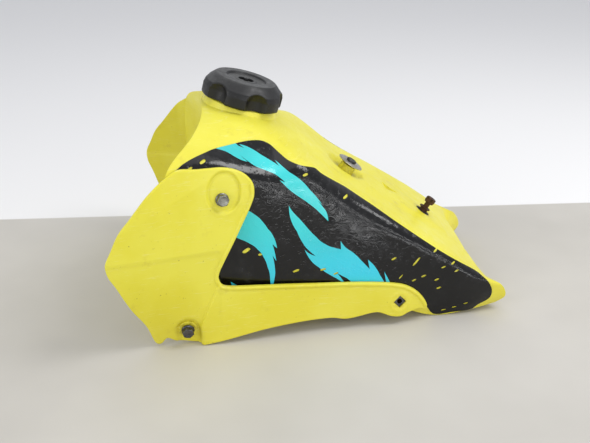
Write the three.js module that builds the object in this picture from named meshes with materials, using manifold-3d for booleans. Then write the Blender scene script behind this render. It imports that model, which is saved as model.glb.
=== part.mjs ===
// Junior motocross fuel tank with two bolted radiator shrouds, in millimetres, +Z up.
// +X points to the motorcycle's rear and +Y to its right-hand side. The origin is on the floor
// under the middle of the object, which stands on its shroud tips and its two rear heels.
import * as THREE from 'three';
import { mergeVertices } from 'three/addons/utils/BufferGeometryUtils.js';
import Module from 'manifold-3d';

const wasm = await Module();
wasm.setup();

// ---- Driving dimensions ----------------------------------------------------------------------
const gap = 0.3; // between pieces that touch
const wall = 4; // moulded wall of the tank
const leastWall = 3; // its thickness at sharp edges, along each axis
const deckTilt = Math.atan2(0.545, 0.84); // the rear deck falls at 33 degrees

const capTilt = THREE.MathUtils.degToRad(15.5); // the cap's axis leans to the rear
const capBase = [-74.2, 0, 209.6]; // centre of the cap's lower rim
const capRadius = 42;
const neckRadius = 29.6;
const neckBore = 24;
const neckHeight = 10.5;
const threadPitch = 4;
const threadStarts = 2;

const shroudThickness = 3;
const decalThickness = 0.5;
const boltRadius = 3; // M6
const insertBore = boltRadius + gap;
const upperBolt = { x: -93.5, z: 150.3 };
const lowerBolt = { x: -131.9, z: 18.2 };
const rearNut = { x: 81.4, z: 25.4 };
const rearMount = [125.6, 0, 77.1]; // where the rear bolt leaves the deck
const seatHook = [38.5, 0, 132.4]; // foot of the seat hook on the deck
const tapCentre = { x: 18, y: -78, z: 25.6 }; // centre of the fuel tap's pad
const screwOffset = 17; // from the tap's axis to each of its two screws

// ---- Materials -------------------------------------------------------------------------------
function material(color, roughness, metalness) {
  return new THREE.MeshStandardMaterial({ color, roughness, metalness });
}
const yellowPlastic = () => material(0xe3dc42, 0.45, 0);
const blackPlastic = () => material(0x2b2b2b, 0.5, 0);
const decalFilm = () => material(0x1d1d20, 0.2, 0);
const zincSteel = () => material(0x8c8c88, 0.45, 1);
const rustySteel = () => material(0x4a3c30, 0.6, 1);
const brass = () => material(0xb58b3c, 0.4, 1);
const rubber = () => material(0x1a1a1a, 0.9, 0);
const castAlloy = () => material(0xa9aaa8, 0.5, 1);
const nylonMesh = () => material(0xd8d4c4, 0.6, 0);

// ---- Joining and cutting ---------------------------------------------------------------------
function solidOf(geometry) {
  const plain = geometry.clone();
  plain.deleteAttribute('normal');
  plain.deleteAttribute('uv');
  const merged = mergeVertices(plain, 1e-4);
  return new wasm.Manifold(new wasm.Mesh({
    numProp: 3,
    vertProperties: new Float32Array(merged.attributes.position.array),
    triVerts: new Uint32Array(merged.index.array),
  }));
}

function geometryOf(solid) {
  const mesh = solid.getMesh();
  const geometry = new THREE.BufferGeometry();
  geometry.setAttribute('position', new THREE.BufferAttribute(mesh.vertProperties, 3));
  geometry.setIndex(new THREE.BufferAttribute(mesh.triVerts, 1));
  geometry.computeVertexNormals();
  return geometry;
}

function combine(method, first, others) {
  return geometryOf(others.reduce((sum, next) => sum[method](solidOf(next)), solidOf(first)));
}
const join = (first, ...others) => combine('add', first, others);
const cut = (first, ...others) => combine('subtract', first, others);
const common = (first, ...others) => combine('intersect', first, others);

// ---- Basic shapes ----------------------------------------------------------------------------
// A round solid about +Z from a profile of [radius, height] pairs that starts and ends on the axis.
function turned(profile, segments = 20) {
  const points = profile.map(([radius, height]) => new THREE.Vector2(radius, height));
  return new THREE.LatheGeometry(points, segments).rotateX(Math.PI / 2);
}

function cylinder(radius, low, high, segments = 20) {
  return turned([[0, low], [radius, low], [radius, high], [0, high]], segments);
}

function tube(inner, outer, low, high, segments = 20) {
  const profile = [[inner, low], [outer, low], [outer, high], [inner, high], [inner, low]];
  return turned(profile, segments);
}

function prism(sides, acrossFlats, low, high) {
  const radius = acrossFlats / 2 / Math.cos(Math.PI / sides);
  return cylinder(radius, low, high, sides);
}

function block(size, centre) {
  return new THREE.BoxGeometry(...size).translate(...centre);
}

// The geometry turned so that its +Z points along a direction, and moved to a place.
function placed(geometry, origin, direction) {
  const axis = new THREE.Vector3(...direction).normalize();
  const turn = new THREE.Quaternion().setFromUnitVectors(new THREE.Vector3(0, 0, 1), axis);
  return geometry.clone().applyQuaternion(turn).translate(...origin);
}

function mirrored(geometry) {
  const copy = geometry.clone().scale(1, -1, 1);
  const index = Array.from(copy.index.array);
  for (let i = 0; i < index.length; i += 3) {
    [index[i + 1], index[i + 2]] = [index[i + 2], index[i + 1]];
  }
  copy.setIndex(index);
  copy.computeVertexNormals();
  return copy;
}

// A closed solid from equal rings of points; each end is closed by pairing its ring's two halves.
// The quads of a half's first part are split the other way, so that a symmetric ring stays symmetric.
function ringSolid(rings) {
  const count = rings[0].length;
  const half = count / 2;
  const index = [];
  for (let i = 0; i + 1 < rings.length; i += 1) {
    for (let j = 0; j < count; j += 1) {
      const a = i * count + j;
      const b = i * count + ((j + 1) % count);
      const firstPart = j % half < Math.floor(half / 2);
      if (firstPart) index.push(a, a + count, b + count, a, b + count, b);
      else index.push(a, a + count, b, b, a + count, b + count);
    }
  }
  const last = (rings.length - 1) * count;
  for (let j = 0; j + 1 < half; j += 1) {
    const [a, b, c, d] = [j, j + 1, count - 2 - j, count - 1 - j];
    index.push(a, b, c, a, c, d);
    index.push(last + a, last + c, last + b, last + a, last + d, last + c);
  }
  const position = rings.flat().flatMap((p) => [p.x, p.y, p.z]);
  const geometry = new THREE.BufferGeometry();
  geometry.setAttribute('position', new THREE.Float32BufferAttribute(position, 3));
  geometry.setIndex(index);
  geometry.computeVertexNormals();
  return geometry;
}

// A closed sheet between two grids of points, rows along +X and columns downwards on the right side.
function sheetSolid(outer, inner) {
  const rows = outer.length;
  const columns = outer[0].length;
  const inside = rows * columns;
  const index = [];
  const quad = (a, b, c, d) => index.push(a, b, c, c, b, d);
  for (let i = 0; i + 1 < rows; i += 1) {
    for (let j = 0; j + 1 < columns; j += 1) {
      const a = i * columns + j;
      const [b, c, d] = [a + 1, a + columns, a + columns + 1];
      index.push(a, c, b, b, c, d);
      index.push(inside + a, inside + b, inside + c, inside + b, inside + d, inside + c);
    }
  }
  for (let j = 0; j + 1 < columns; j += 1) {
    const far = (rows - 1) * columns + j;
    quad(j, j + 1, inside + j, inside + j + 1);
    quad(far + 1, far, inside + far + 1, inside + far);
  }
  for (let i = 0; i + 1 < rows; i += 1) {
    const top = i * columns;
    const bottom = top + columns - 1;
    quad(top + columns, top, inside + top + columns, inside + top);
    quad(bottom, bottom + columns, inside + bottom, inside + bottom + columns);
  }
  const position = [...outer.flat(), ...inner.flat()].flatMap((p) => [p.x, p.y, p.z]);
  const geometry = new THREE.BufferGeometry();
  geometry.setAttribute('position', new THREE.Float32BufferAttribute(position, 3));
  geometry.setIndex(index);
  return geometry;
}

// An outline of [x, z] points, as seen from the side, extruded between two distances from the middle.
function sidePrism(outline, nearY, farY) {
  const shape = new THREE.Shape(outline.map(([x, z]) => new THREE.Vector2(x, z)));
  const settings = { depth: farY - nearY, bevelEnabled: false };
  return new THREE.ExtrudeGeometry(shape, settings).rotateX(Math.PI / 2).translate(0, farY, 0);
}

// A smooth curve through [x, y] pairs, read at x.
function readCurve(pairs, x) {
  const last = pairs.length - 1;
  const k = Math.min(Math.max(pairs.findIndex((p) => p[0] > x), 1), last);
  const i = x >= pairs[last][0] ? last : k;
  const [x0, y0] = pairs[i - 1];
  const [x1, y1] = pairs[i];
  const slope = (a, b) => (pairs[b][1] - pairs[a][1]) / (pairs[b][0] - pairs[a][0]);
  const m0 = slope(Math.max(i - 2, 0), i) * (x1 - x0);
  const m1 = slope(i - 1, Math.min(i + 1, last)) * (x1 - x0);
  const t = Math.min(Math.max((x - x0) / (x1 - x0), 0), 1);
  const bend = t * t * (3 - 2 * t);
  return y0 + (y1 - y0) * bend + m0 * t * (1 - t) ** 2 - m1 * t * t * (1 - t);
}

function offsetCopy(geometry, distance) {
  const copy = geometry.clone();
  const { position, normal } = copy.attributes;
  const point = new THREE.Vector3();
  const direction = new THREE.Vector3();
  for (let i = 0; i < position.count; i += 1) {
    point.fromBufferAttribute(position, i);
    direction.fromBufferAttribute(normal, i);
    point.addScaledVector(direction, distance);
    position.setXYZ(i, point.x, point.y, point.z);
  }
  return copy;
}

// ---- The object ------------------------------------------------------------------------------
const object = new THREE.Group();

function addPart(name, geometry, look, parent = object) {
  const mesh = new THREE.Mesh(geometry, look);
  mesh.name = name;
  parent.add(mesh);
}

// Adds the right-hand piece as given and its mirror image on the left.
function addPair(name, geometry, look) {
  addPart(`${name}_right`, geometry, look());
  addPart(`${name}_left`, mirrored(geometry), look());
}

// ---- Tank surface ----------------------------------------------------------------------------
// Each rail runs from the front edge to the rear end, and all rails share ten stations.
function rail(points) {
  const places = points.map((p) => new THREE.Vector3(...p));
  return new THREE.CatmullRomCurve3(places, false, 'centripetal');
}

const outerRails = [
  // top centre line: over the filler hump, then down the seat deck
  [[-115, 0, 212], [-100, 0, 212], [-72, 0, 206.5], [-45, 0, 194], [-20, 0, 178],
    [30, 0, 138], [80, 0, 106.5], [125, 0, 77.5], [150, 0, 60], [168, 0, 46]],
  // flank of the hump and deck
  [[-113, 45, 206.5], [-100, 47, 206.5], [-72, 47, 202.5], [-45, 46, 190], [-20, 44, 176],
    [30, 42, 136.5], [80, 45, 105], [125, 46, 76], [150, 46, 59], [168, 46, 46]],
  // upper edge of the shoulder
  [[-119.5, 82, 198.4], [-101, 92, 190.5], [-73, 80, 186], [-43, 74, 176.5], [-20, 84, 170.5],
    [30, 78, 134], [80, 86, 102.5], [125, 91, 73.5], [155, 91, 53], [178, 86, 38]],
  // lower edge of the shoulder
  [[-141, 130, 179.5], [-103, 114, 181], [-72, 106.5, 169.5], [-43, 96, 163], [-20, 92, 163],
    [30, 86.5, 127], [80, 93, 96], [125, 96.5, 67], [158, 96, 46], [190.5, 91, 33]],
  // upper side
  [[-145, 132, 155], [-104, 119.5, 150], [-72, 112.5, 145], [-43, 104, 140], [-20, 100, 135],
    [30, 94, 105], [80, 97, 80], [125, 98, 54], [158, 97, 34], [197.3, 90, 23.8]],
  // lower side
  [[-140, 120, 70], [-104, 120.5, 66], [-72, 115.5, 62], [-43, 112, 60], [-20, 109, 58],
    [30, 104, 52], [80, 101.5, 40], [123, 97.5, 18], [158, 96, 15], [198.6, 88, 15]],
  // bottom edge, outside
  [[-122, 108, 28], [-100, 112, 24], [-72, 111, 23], [-43, 109, 24], [-20, 107, 26],
    [30, 103, 29], [80, 100, 15], [121, 96, 0.19], [158, 93, 3.5], [190, 85, 6.5]],
].map(rail);

const tunnelRails = [
  // roof of the frame tunnel
  [[-100, 0, 158], [-88, 0, 150], [-66, 0, 142], [-43, 0, 134], [-20, 0, 124],
    [30, 0, 92], [80, 0, 64], [121, 0, 44], [148, 0, 36], [160, 0, 31]],
  // upper corner of the tunnel
  [[-106, 50, 142], [-92, 42, 140], [-70, 38, 132], [-43, 36, 125], [-20, 35, 115],
    [30, 32, 84], [80, 31, 56], [121, 32, 37], [150, 34, 31], [166, 40, 27]],
  // bottom edge, inside
  [[-110, 66, 28], [-95, 62, 24], [-72, 58, 23], [-43, 54, 24], [-20, 52, 26],
    [30, 48, 29], [80, 46, 17], [118, 50, 4], [156, 54, 7], [182, 60, 12]],
].map(rail);

// One sheet's section at a share of the length: left bottom edge, over the top, right bottom edge.
function sectionChain(rails, share, steps) {
  const half = rails.map((curve) => curve.getPoint(share));
  const otherHalf = half.slice(1).map((p) => new THREE.Vector3(p.x, -p.y, p.z));
  const control = [...otherHalf.reverse(), ...half];
  return new THREE.CatmullRomCurve3(control, false, 'centripetal').getPoints(steps);
}

function tankLoft(stations, steps) {
  const rings = [];
  for (let i = 0; i <= stations; i += 1) {
    const outside = sectionChain(outerRails, i / stations, steps);
    const tunnel = sectionChain(tunnelRails, i / stations, steps);
    rings.push([...outside, ...tunnel.reverse()]);
  }
  return ringSolid(rings);
}
const tankStations = 16;
const sectionSteps = 20;
const tankOutside = tankLoft(tankStations, sectionSteps);

// ---- Filler neck and screw threads -----------------------------------------------------------
// A helical ridge of trapezoid section on a wall at the given radius; height is signed, so a
// negative one points inwards.
function threadRidge(radius, height, base, turns, phase) {
  const stepsPerTurn = 16;
  const steps = Math.round(turns * stepsPerTurn);
  const lead = threadPitch * threadStarts;
  const root = radius - Math.sign(height);
  const rings = [];
  for (let i = 0; i <= steps; i += 1) {
    const turn = (i / stepsPerTurn) * 2 * Math.PI;
    const at = (r, h) => new THREE.Vector3(
      r * Math.cos(turn + phase),
      r * Math.sin(turn + phase),
      base + (turn / (2 * Math.PI)) * lead + h,
    );
    const ring = [at(root, -1), at(radius + height, -0.4), at(radius + height, 0.4), at(root, 1)];
    rings.push(height > 0 ? ring : ring.reverse());
  }
  return ringSolid(rings);
}

function threads(radius, height, base, turns) {
  const starts = [];
  for (let k = 0; k < threadStarts; k += 1) {
    starts.push(threadRidge(radius, height, base, turns, (k * 2 * Math.PI) / threadStarts));
  }
  return starts;
}

const capDirection = [Math.sin(capTilt), 0, Math.cos(capTilt)];
const onCapAxis = (geometry) => placed(geometry, capBase, capDirection);
const onDeck = (geometry, origin) => placed(geometry, origin, [Math.sin(deckTilt), 0, Math.cos(deckTilt)]);

const threadBase = 1.4;
const neckProfile = [[0, -12], [37, -12], [36, -1.2], [neckRadius, -0.6], [neckRadius, neckHeight],
  [0, neckHeight]];
const neck = onCapAxis(join(turned(neckProfile, 32), ...threads(neckRadius, 1.8, threadBase, 0.95)));

// ---- Outer face of the shrouds and the axes of their bolts --------------------------------------
// Distance of the shroud's outer face from the middle along three lines: its lower edge, the
// ridge, where it stands widest, and its upper edge.
const ridgeZ = 102;
const topZ = 170;
const lowerLine = [[-205, 142], [-163, 134], [-140, 132], [-122, 132.5], [-116, 134.5], [-60, 129.5],
  [0, 120], [25, 116], [80, 112.5], [110, 105], [125, 101]];
const ridgeLine = [[-205, 157], [-163, 148], [-130, 138.5], [-100, 129.5], [-60, 119.5], [0, 110],
  [125, 98]];
const upperLine = [[-205, 150], [-156, 147], [-144, 139.5], [-130, 133.2], [-110, 125.4], [-94, 120],
  [-72, 114], [-55, 111], [125, 92]];

function shroudFace(x, z) {
  const ridge = readCurve(ridgeLine, x);
  if (z < ridgeZ) return ridge + (readCurve(lowerLine, x) - ridge) * (1 - Math.max(z, 0) / ridgeZ) ** 2;
  const rise = Math.min((z - ridgeZ) / (topZ - ridgeZ), 1.3);
  return ridge + (readCurve(upperLine, x) - ridge) * rise ** 1.4;
}

const recessDepth = 1.2;
const seatY = ({ x, z }) => shroudFace(x, z) - recessDepth;

// Geometry made about +Z, set square to the right shroud with z = 0 on its bolt's seat.
function onBolt(geometry, place) {
  const { x, z } = place;
  const slopeX = (shroudFace(x + 5, z) - shroudFace(x - 5, z)) / 10;
  const slopeZ = (shroudFace(x, z + 5) - shroudFace(x, z - 5)) / 10;
  return placed(geometry, [x, seatY(place), z], [-slopeX, 1, -slopeZ]);
}
const bothSides = (geometry) => [geometry, mirrored(geometry)];

// ---- Tank ------------------------------------------------------------------------------------
const bossRadius = 9;
const insertLength = 12;
const upperTankFace = -4.4; // height of the tank's side under the shroud's seat at the upper bolt
const rearTankFace = -6; // and at the rear nut
const insertPlaces = [[upperBolt, upperTankFace], [rearNut, rearTankFace]];
const tapPad = block([50, 28, 16], [tapCentre.x, tapCentre.y, tapCentre.z + 8]);

// The seat deck carries a dish for the seat hook and a raised pad for the rear mount.
const hookDish = onDeck(cylinder(20, -4, 30, 20), seatHook);
const hookTop = 4; // height of the moulded boss over the deck
const hookBoss = onDeck(cylinder(9, -6, hookTop, 20), seatHook);
const mountPad = onDeck(block([62, 52, 9], [-2, 0, -3.3]), rearMount);
const dimplePlace = [88.5, 13, 102.5];
const padDimple = onDeck(prism(3, 13, -2.6, 12), dimplePlace);
const mountColumn = onDeck(cylinder(14, -60, 6, 12), rearMount);

const insideBosses = [
  onDeck(cylinder(24, -8, 30, 12), seatHook),
  onDeck(cylinder(9, -22, 5, 12), seatHook),
  onDeck(cylinder(13, -7, 12, 12), dimplePlace),
  mountColumn,
  tapPad,
  ...insertPlaces.flatMap(
    ([place, face]) => bothSides(onBolt(cylinder(bossRadius, face - 17, 5, 12), place)),
  ),
];
// The inset surface comes too close to the outside at sharp edges, so copies of the tank, shifted both
// ways along each axis, hold it back there.
const shifts = [[1, 0, 0], [0, 1, 0], [0, 0, 1]].flatMap(
  (axis) => [leastWall, -leastWall].map((distance) => axis.map((part) => part * distance)),
);
const inset = common(
  offsetCopy(tankLoft(10, 16), -wall),
  ...shifts.map((shift) => tankOutside.clone().translate(...shift)),
);
const cavity = cut(inset, ...insideBosses);

const pocketDepth = insertLength + 0.6;
const pockets = [
  ...insertPlaces.flatMap(
    ([place, face]) => bothSides(onBolt(cylinder(5.8, face - pocketDepth, 20, 16), place)),
  ),
  onDeck(cylinder(4.8, -16, 5, 16), seatHook),
  onDeck(cylinder(7.5, -80, 10, 16), rearMount),
  onDeck(cylinder(8.8, -1.4, 10, 20), rearMount),
];
const tapHoles = [
  cylinder(6.6, -5, 60, 16).translate(tapCentre.x, tapCentre.y, tapCentre.z),
  ...[-screwOffset, screwOffset].map(
    (dx) => cylinder(5, -5, 11, 12).translate(tapCentre.x + dx, tapCentre.y, tapCentre.z),
  ),
];

function tank() {
  const outside = join(cut(tankOutside, hookDish), neck, hookBoss, common(mountPad, deckBlock()), tapPad);
  const bore = onCapAxis(cylinder(neckBore, -18, 30, 24));
  const trimmed = cut(outside, padDimple, ...pockets, ...tapHoles, bore);
  return cut(trimmed, cavity);
}

// Everything above the tunnel roof, so that the mount pad stays out of the tunnel.
function deckBlock() {
  return block([120, 60, 80], [125, 0, 85]);
}

addPart('tank', tank(), yellowPlastic());

// ---- Radiator shrouds ------------------------------------------------------------------------
const shroudOutline = [
  // front edge, from the top down to the pointed tip, the notch and the bolt tab
  [-143, 176], [-155, 167], [-174, 144.4], [-185, 131], [-192.5, 116], [-199, 103], [-197.8, 91],
  [-192.2, 78], [-182, 51], [-170.3, 27], [-164, 3.5], [-161.5, 1.6], [-158.5, 2.2], [-152.6, 8.5],
  [-144, 4], [-120.4, 0.3], [-106.6, 2],
  // underside of the rear strip, with its bulge round the nut
  [-50, 11.8], [9, 14.2], [26.5, 11.2], [57.5, 15.9], [65, 13.7], [73, 10.4], [83, 9.4], [91.6, 12.6],
  [102.5, 14.7], [111.4, 13.2],
  // upper edge of the strip, the inner corner and the front panel's rear edge
  [111, 19.5], [101.5, 32.5], [89, 41.5], [73, 46.2], [-22, 54.4], [-89, 61.8], [-96.5, 64.5],
  [-99.8, 70], [-99, 77], [-80, 116], [-66.5, 143.5], [-64, 151.5], [-64.5, 160.5], [-69.5, 168.5],
  [-78.5, 175], [-92, 179.3], [-115, 180.3], [-131.5, 182],
];
const shroudColumns = [-204, -190, -176, -163, -150, -136, -122, -116, -100, -84, -60, -30, 0, 30, 60,
  86, 122];
const shroudLevels = [188, 170, 154, 136, 118, ridgeZ, 84, 60, 40, 20, -4];
const onShroud = (inset) => shroudColumns.map((x) => shroudLevels.map(
  (z) => new THREE.Vector3(x, shroudFace(x, z) - inset, z),
));

const boltHole = boltRadius + 2;

function shroud() {
  const sheet = sheetSolid(onShroud(0), onShroud(shroudThickness));
  const panel = common(sheet, sidePrism(shroudOutline, 60, 180));
  const upperDish = cylinder(20.1, 0, 6, 24).scale(0.785, 1, 1).translate(1.9, -6.5, 0);
  return cut(
    join(panel, onBolt(cylinder(9, -5, 0, 16), lowerBolt)),
    onBolt(upperDish, upperBolt),
    onBolt(cylinder(10, 0, 6), lowerBolt),
    onBolt(cylinder(boltHole, -20, 20, 16), upperBolt),
    onBolt(cylinder(boltHole, -20, 20, 16), lowerBolt),
    onBolt(prism(4, 9.6, -20, 20), rearNut),
  );
}
addPair('shroud', shroud(), yellowPlastic);

// ---- Side decals -----------------------------------------------------------------------------
const decalOutline = [
  // upper edge, over the shoulder and down along the deck
  [-135, 175], [-127, 181.4], [-116.5, 185.2], [-103, 188], [-84, 189.2], [-68, 188.8],
  [-56, 186.6], [-48.5, 183.2], [-40, 177.2], [-32, 172.8], [-24.5, 170.2], [-6.6, 163.2],
  [1.7, 156.5], [31.4, 134.6], [66, 112], [122.6, 74.2], [166, 45.7], [176.6, 36.8],
  // rounded tail and the heel
  [181.5, 26], [180, 17.5], [168, 10], [163, 5], [141, 3.4], [121, 2.5],
  // along the shroud's edges, a little under them
  [111, 15], [100, 28.5], [87, 38.6], [71, 42.5], [-22, 49], [-92, 55.5], [-101, 60], [-104, 70],
  [-100, 80], [-84, 115], [-70, 144], [-68, 155], [-72, 162.5], [-80, 168.5], [-92, 172],
  [-116, 172], [-135, 172.5],
];

function decal() {
  const { position, normal } = tankOutside.attributes;
  const ringSize = position.count / (tankStations + 1);
  const sheetAt = (distance) => {
    const rows = [];
    for (let i = 0; i <= tankStations; i += 1) {
      const row = [];
      for (let j = sectionSteps / 2 + 2; j <= sectionSteps; j += 1) {
        const k = i * ringSize + j;
        const point = new THREE.Vector3().fromBufferAttribute(position, k);
        const outward = new THREE.Vector3().fromBufferAttribute(normal, k);
        row.push(point.addScaledVector(outward, distance));
      }
      rows.push(row);
    }
    return rows;
  };
  const sheet = sheetSolid(sheetAt(gap + decalThickness), sheetAt(gap));
  return common(sheet, sidePrism(decalOutline, 20, 140));
}
addPair('decal', decal(), decalFilm);

// ---- Fasteners of the shrouds ----------------------------------------------------------------
const flangeRadius = 6.3;

// A flanged hexagon bolt whose flange rests on z = 0, with its shank down the -Z axis.
function flangeBolt(length) {
  return join(
    cylinder(boltRadius, -length, 1, 16),
    cylinder(flangeRadius, 0, 1.4),
    prism(6, 10, 1, 6),
  );
}

const collarRadius = boltHole - gap;
const insert = (face) => tube(insertBore, 5.5, face - insertLength, face, 16);
const lowerNut = cut(
  join(cylinder(flangeRadius, -8.8, -7.3), prism(6, 10, -12.6, -8.5)),
  cylinder(insertBore, -20, 5, 16),
);
const squareNut = cut(prism(4, 9, rearTankFace + 1.4, -0.5), cylinder(2.6, -20, 5, 16));

addPair('upper_bolt', onBolt(flangeBolt(12).translate(0, 0, gap), upperBolt), zincSteel);
const upperCollar = tube(insertBore, collarRadius, upperTankFace + gap, 0, 16);
addPair('upper_collar', onBolt(upperCollar, upperBolt), zincSteel);
addPair('upper_insert', onBolt(insert(upperTankFace), upperBolt), brass);
addPair('lower_bolt', onBolt(flangeBolt(14).translate(0, 0, gap), lowerBolt), zincSteel);
addPair('lower_collar', onBolt(tube(insertBore, collarRadius, -7, 0, 16), lowerBolt), zincSteel);
addPair('lower_nut', onBolt(lowerNut, lowerBolt), zincSteel);
addPair('rear_square_nut', onBolt(squareNut, rearNut), zincSteel);
addPair('rear_insert', onBolt(insert(rearTankFace), rearNut), brass);

// ---- Seat hook and rear mount on the deck ----------------------------------------------------
const spacerHeight = 1.5;
const washerThickness = 1.6;
const hookWasher = hookTop + spacerHeight + 2 * gap;
addPart(
  'seat_hook_spacer',
  onDeck(tube(insertBore, 7.5, hookTop + gap, hookTop + gap + spacerHeight), seatHook),
  rustySteel(),
);
addPart(
  'seat_hook_washer',
  onDeck(join(
    tube(insertBore, 9.5, hookWasher, hookWasher + washerThickness, 28),
    tube(8, 14.5, hookWasher, hookWasher + washerThickness - 0.3, 28),
  ), seatHook),
  zincSteel(),
);
addPart(
  'seat_hook_bolt',
  onDeck(join(
    cylinder(boltRadius, -14, hookWasher + 3, 16),
    prism(6, 10, hookWasher + washerThickness + gap, hookWasher + washerThickness + 2.6),
  ), seatHook),
  zincSteel(),
);
addPart('seat_hook_insert', onDeck(tube(insertBore, 4.5, -15.5, hookTop - gap, 16), seatHook), brass());

const boltLift = 4.6; // the rear bolt stands part way out
addPart(
  'rear_grommet',
  onDeck(join(tube(5, 7.2, -34, 0, 20), tube(5, 8.5, -1.1, 1, 20)), rearMount),
  rubber(),
);
addPart('rear_collar', onDeck(tube(insertBore, 4.7, -34, boltLift - gap, 16), rearMount), rustySteel());
addPart('rear_washer', onDeck(tube(insertBore, 6.4, boltLift, boltLift + 1.5, 20), rearMount), rustySteel());
addPart(
  'rear_bolt',
  onDeck(join(
    cylinder(boltRadius, -30, 13, 16),
    cylinder(5.2, 12, 13.2, 20),
    prism(6, 10, 13, 18.5),
  ), rearMount),
  rustySteel(),
);

// ---- Screw cap -------------------------------------------------------------------------------
const capCeiling = 14.7;
const capTop = 24;
const scallops = 6;
const scallopTurn = THREE.MathUtils.degToRad(-70);

function cap() {
  const body = turned([
    [0, 0.4], [38, 0.4], [40.8, 0], [capRadius, 1.6], [capRadius, 11], [40.4, 15.5], [33, 22.4],
    [31, capTop], [21, capTop], [20, capTop - 1.6], [0, capTop - 1.6],
  ], 40);
  const fingerNotch = turned([[0, -5], [12.5, -5], [12.5, 9], [11, 13.5], [7, 18], [0, 20]], 16);
  const notches = [];
  for (let k = 0; k < scallops; k += 1) {
    const angle = scallopTurn + (k * 2 * Math.PI) / scallops;
    notches.push(fingerNotch.clone().translate(47.2 * Math.cos(angle), 47.2 * Math.sin(angle), 0));
  }
  const threadWall = neckRadius + 1.8 + 0.9;
  const hollow = turned([[0, -1], [threadWall, -1], [threadWall, capCeiling], [0, capCeiling]], 32);
  const ventHole = cylinder(7.5, capCeiling - 1, capTop + 1);
  const shell = cut(body, ...notches, hollow, ventHole);
  return join(shell, ...threads(threadWall, -2, threadBase + threadPitch / 2, 0.8));
}

const gasketLow = neckHeight + gap;
const plugFlangeLow = capCeiling - 1.8;
addPart('cap', onCapAxis(cap()), blackPlastic());
addPart('cap_gasket', onCapAxis(tube(23.5, 31.6, gasketLow, capCeiling - gap, 32)), rubber());
addPart(
  'cap_vent_plug',
  onCapAxis(cut(join(
    cylinder(9.5, plugFlangeLow, capCeiling - gap),
    cylinder(7.2, capCeiling - 1, capTop - 4.4),
    cylinder(2.4, capTop - 6, capTop - 0.4, 12),
  ), cylinder(1.1, 0, 40, 8))),
  blackPlastic(),
);
addPart(
  'cap_baffle',
  onCapAxis(join(
    tube(3.4, 22.8, plugFlangeLow - gap - 1.2, plugFlangeLow - gap, 24),
    tube(20.8, 22.8, 4, plugFlangeLow - gap - 0.2, 24),
  )),
  blackPlastic(),
);

// ---- Fuel tap under the left lobe ------------------------------------------------------------
const atTap = (geometry) => geometry.clone().translate(tapCentre.x, tapCentre.y, tapCentre.z);
const tapFlangeTop = -1.5;
const tapFlangeBottom = -5.5;

function tapBody() {
  const flange = join(
    block([34, 20, tapFlangeTop - tapFlangeBottom], [0, 0, (tapFlangeTop + tapFlangeBottom) / 2]),
    cylinder(7.5, tapFlangeBottom, tapFlangeTop).translate(-screwOffset, 0, 0),
    cylinder(7.5, tapFlangeBottom, tapFlangeTop).translate(screwOffset, 0, 0),
  );
  const barrel = cylinder(9.5, -20, tapFlangeBottom + 1);
  const spout = placed(cylinder(3.6, 0, 26, 16), [0, 0, -15], [1, 0.35, 0]);
  const valveHouse = placed(cylinder(8.5, 0, 12), [0, 0, -13], [0, -1, 0]);
  const holes = [
    cylinder(2.4, -16, 5, 12),
    placed(cylinder(1.8, 0, 40, 12), [0, 0, -15], [1, 0.35, 0]),
    cylinder(2.9, -20, 5, 12).translate(-screwOffset, 0, 0),
    cylinder(2.9, -20, 5, 12).translate(screwOffset, 0, 0),
    placed(cylinder(5.3, 4, 20, 16), [0, 0, -13], [0, -1, 0]),
    cylinder(5.4, -3.5, 5, 16),
  ];
  return cut(join(flange, barrel, spout, valveHouse), ...holes);
}

// The lever points to the rear at rest, which is the closed position.
function tapLever() {
  const valve = cylinder(5, 4.3, 12.3, 16);
  const disc = cylinder(7.6, 12.3, 14.6);
  const handle = block([10.4, 5.6, 3.6], [6.6, 0, 14.1]);
  return placed(join(valve, disc, handle), [0, 0, -13], [0, -1, 0]);
}

addPart('tap_body', atTap(tapBody()), castAlloy());
addPart('tap_lever', atTap(tapLever()), blackPlastic());
addPart('tap_seal', atTap(tube(7.2, 9.6, tapFlangeTop + gap, -gap, 20)), rubber());
addPart('tap_strainer', atTap(join(tube(3.2, 5.1, -3.2, 26, 12), cylinder(5.1, 25, 28, 12))), nylonMesh());
for (const [end, dx] of [['front', -screwOffset], ['rear', screwOffset]]) {
  const shank = cylinder(2.6, tapFlangeBottom - 1, 9, 12);
  const head = cylinder(4.4, tapFlangeBottom - 3.6, tapFlangeBottom - gap, 16);
  const screw = join(shank, head);
  addPart(`tap_screw_${end}`, atTap(screw.translate(dx, 0, 0)), zincSteel());
  addPart(`tap_insert_${end}`, atTap(tube(2.9, 4.7, 0, 10.4, 12).translate(dx, 0, 0)), brass());
}

// ---- Rubber pads that sit on the frame's backbone --------------------------------------------
const padSize = [26, 18, 3];
addPair('tunnel_pad', placed(block(padSize, [0, 0, 0]), [-60, 40.2, 100], [-0.117, -1, -0.183]), rubber);

export default object;
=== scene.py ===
import math

import bpy
import numpy as np
from mathutils import Matrix, Vector
from mathutils.bvhtree import BVHTree
from mathutils.geometry import delaunay_2d_cdt
from mathutils.kdtree import KDTree


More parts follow.
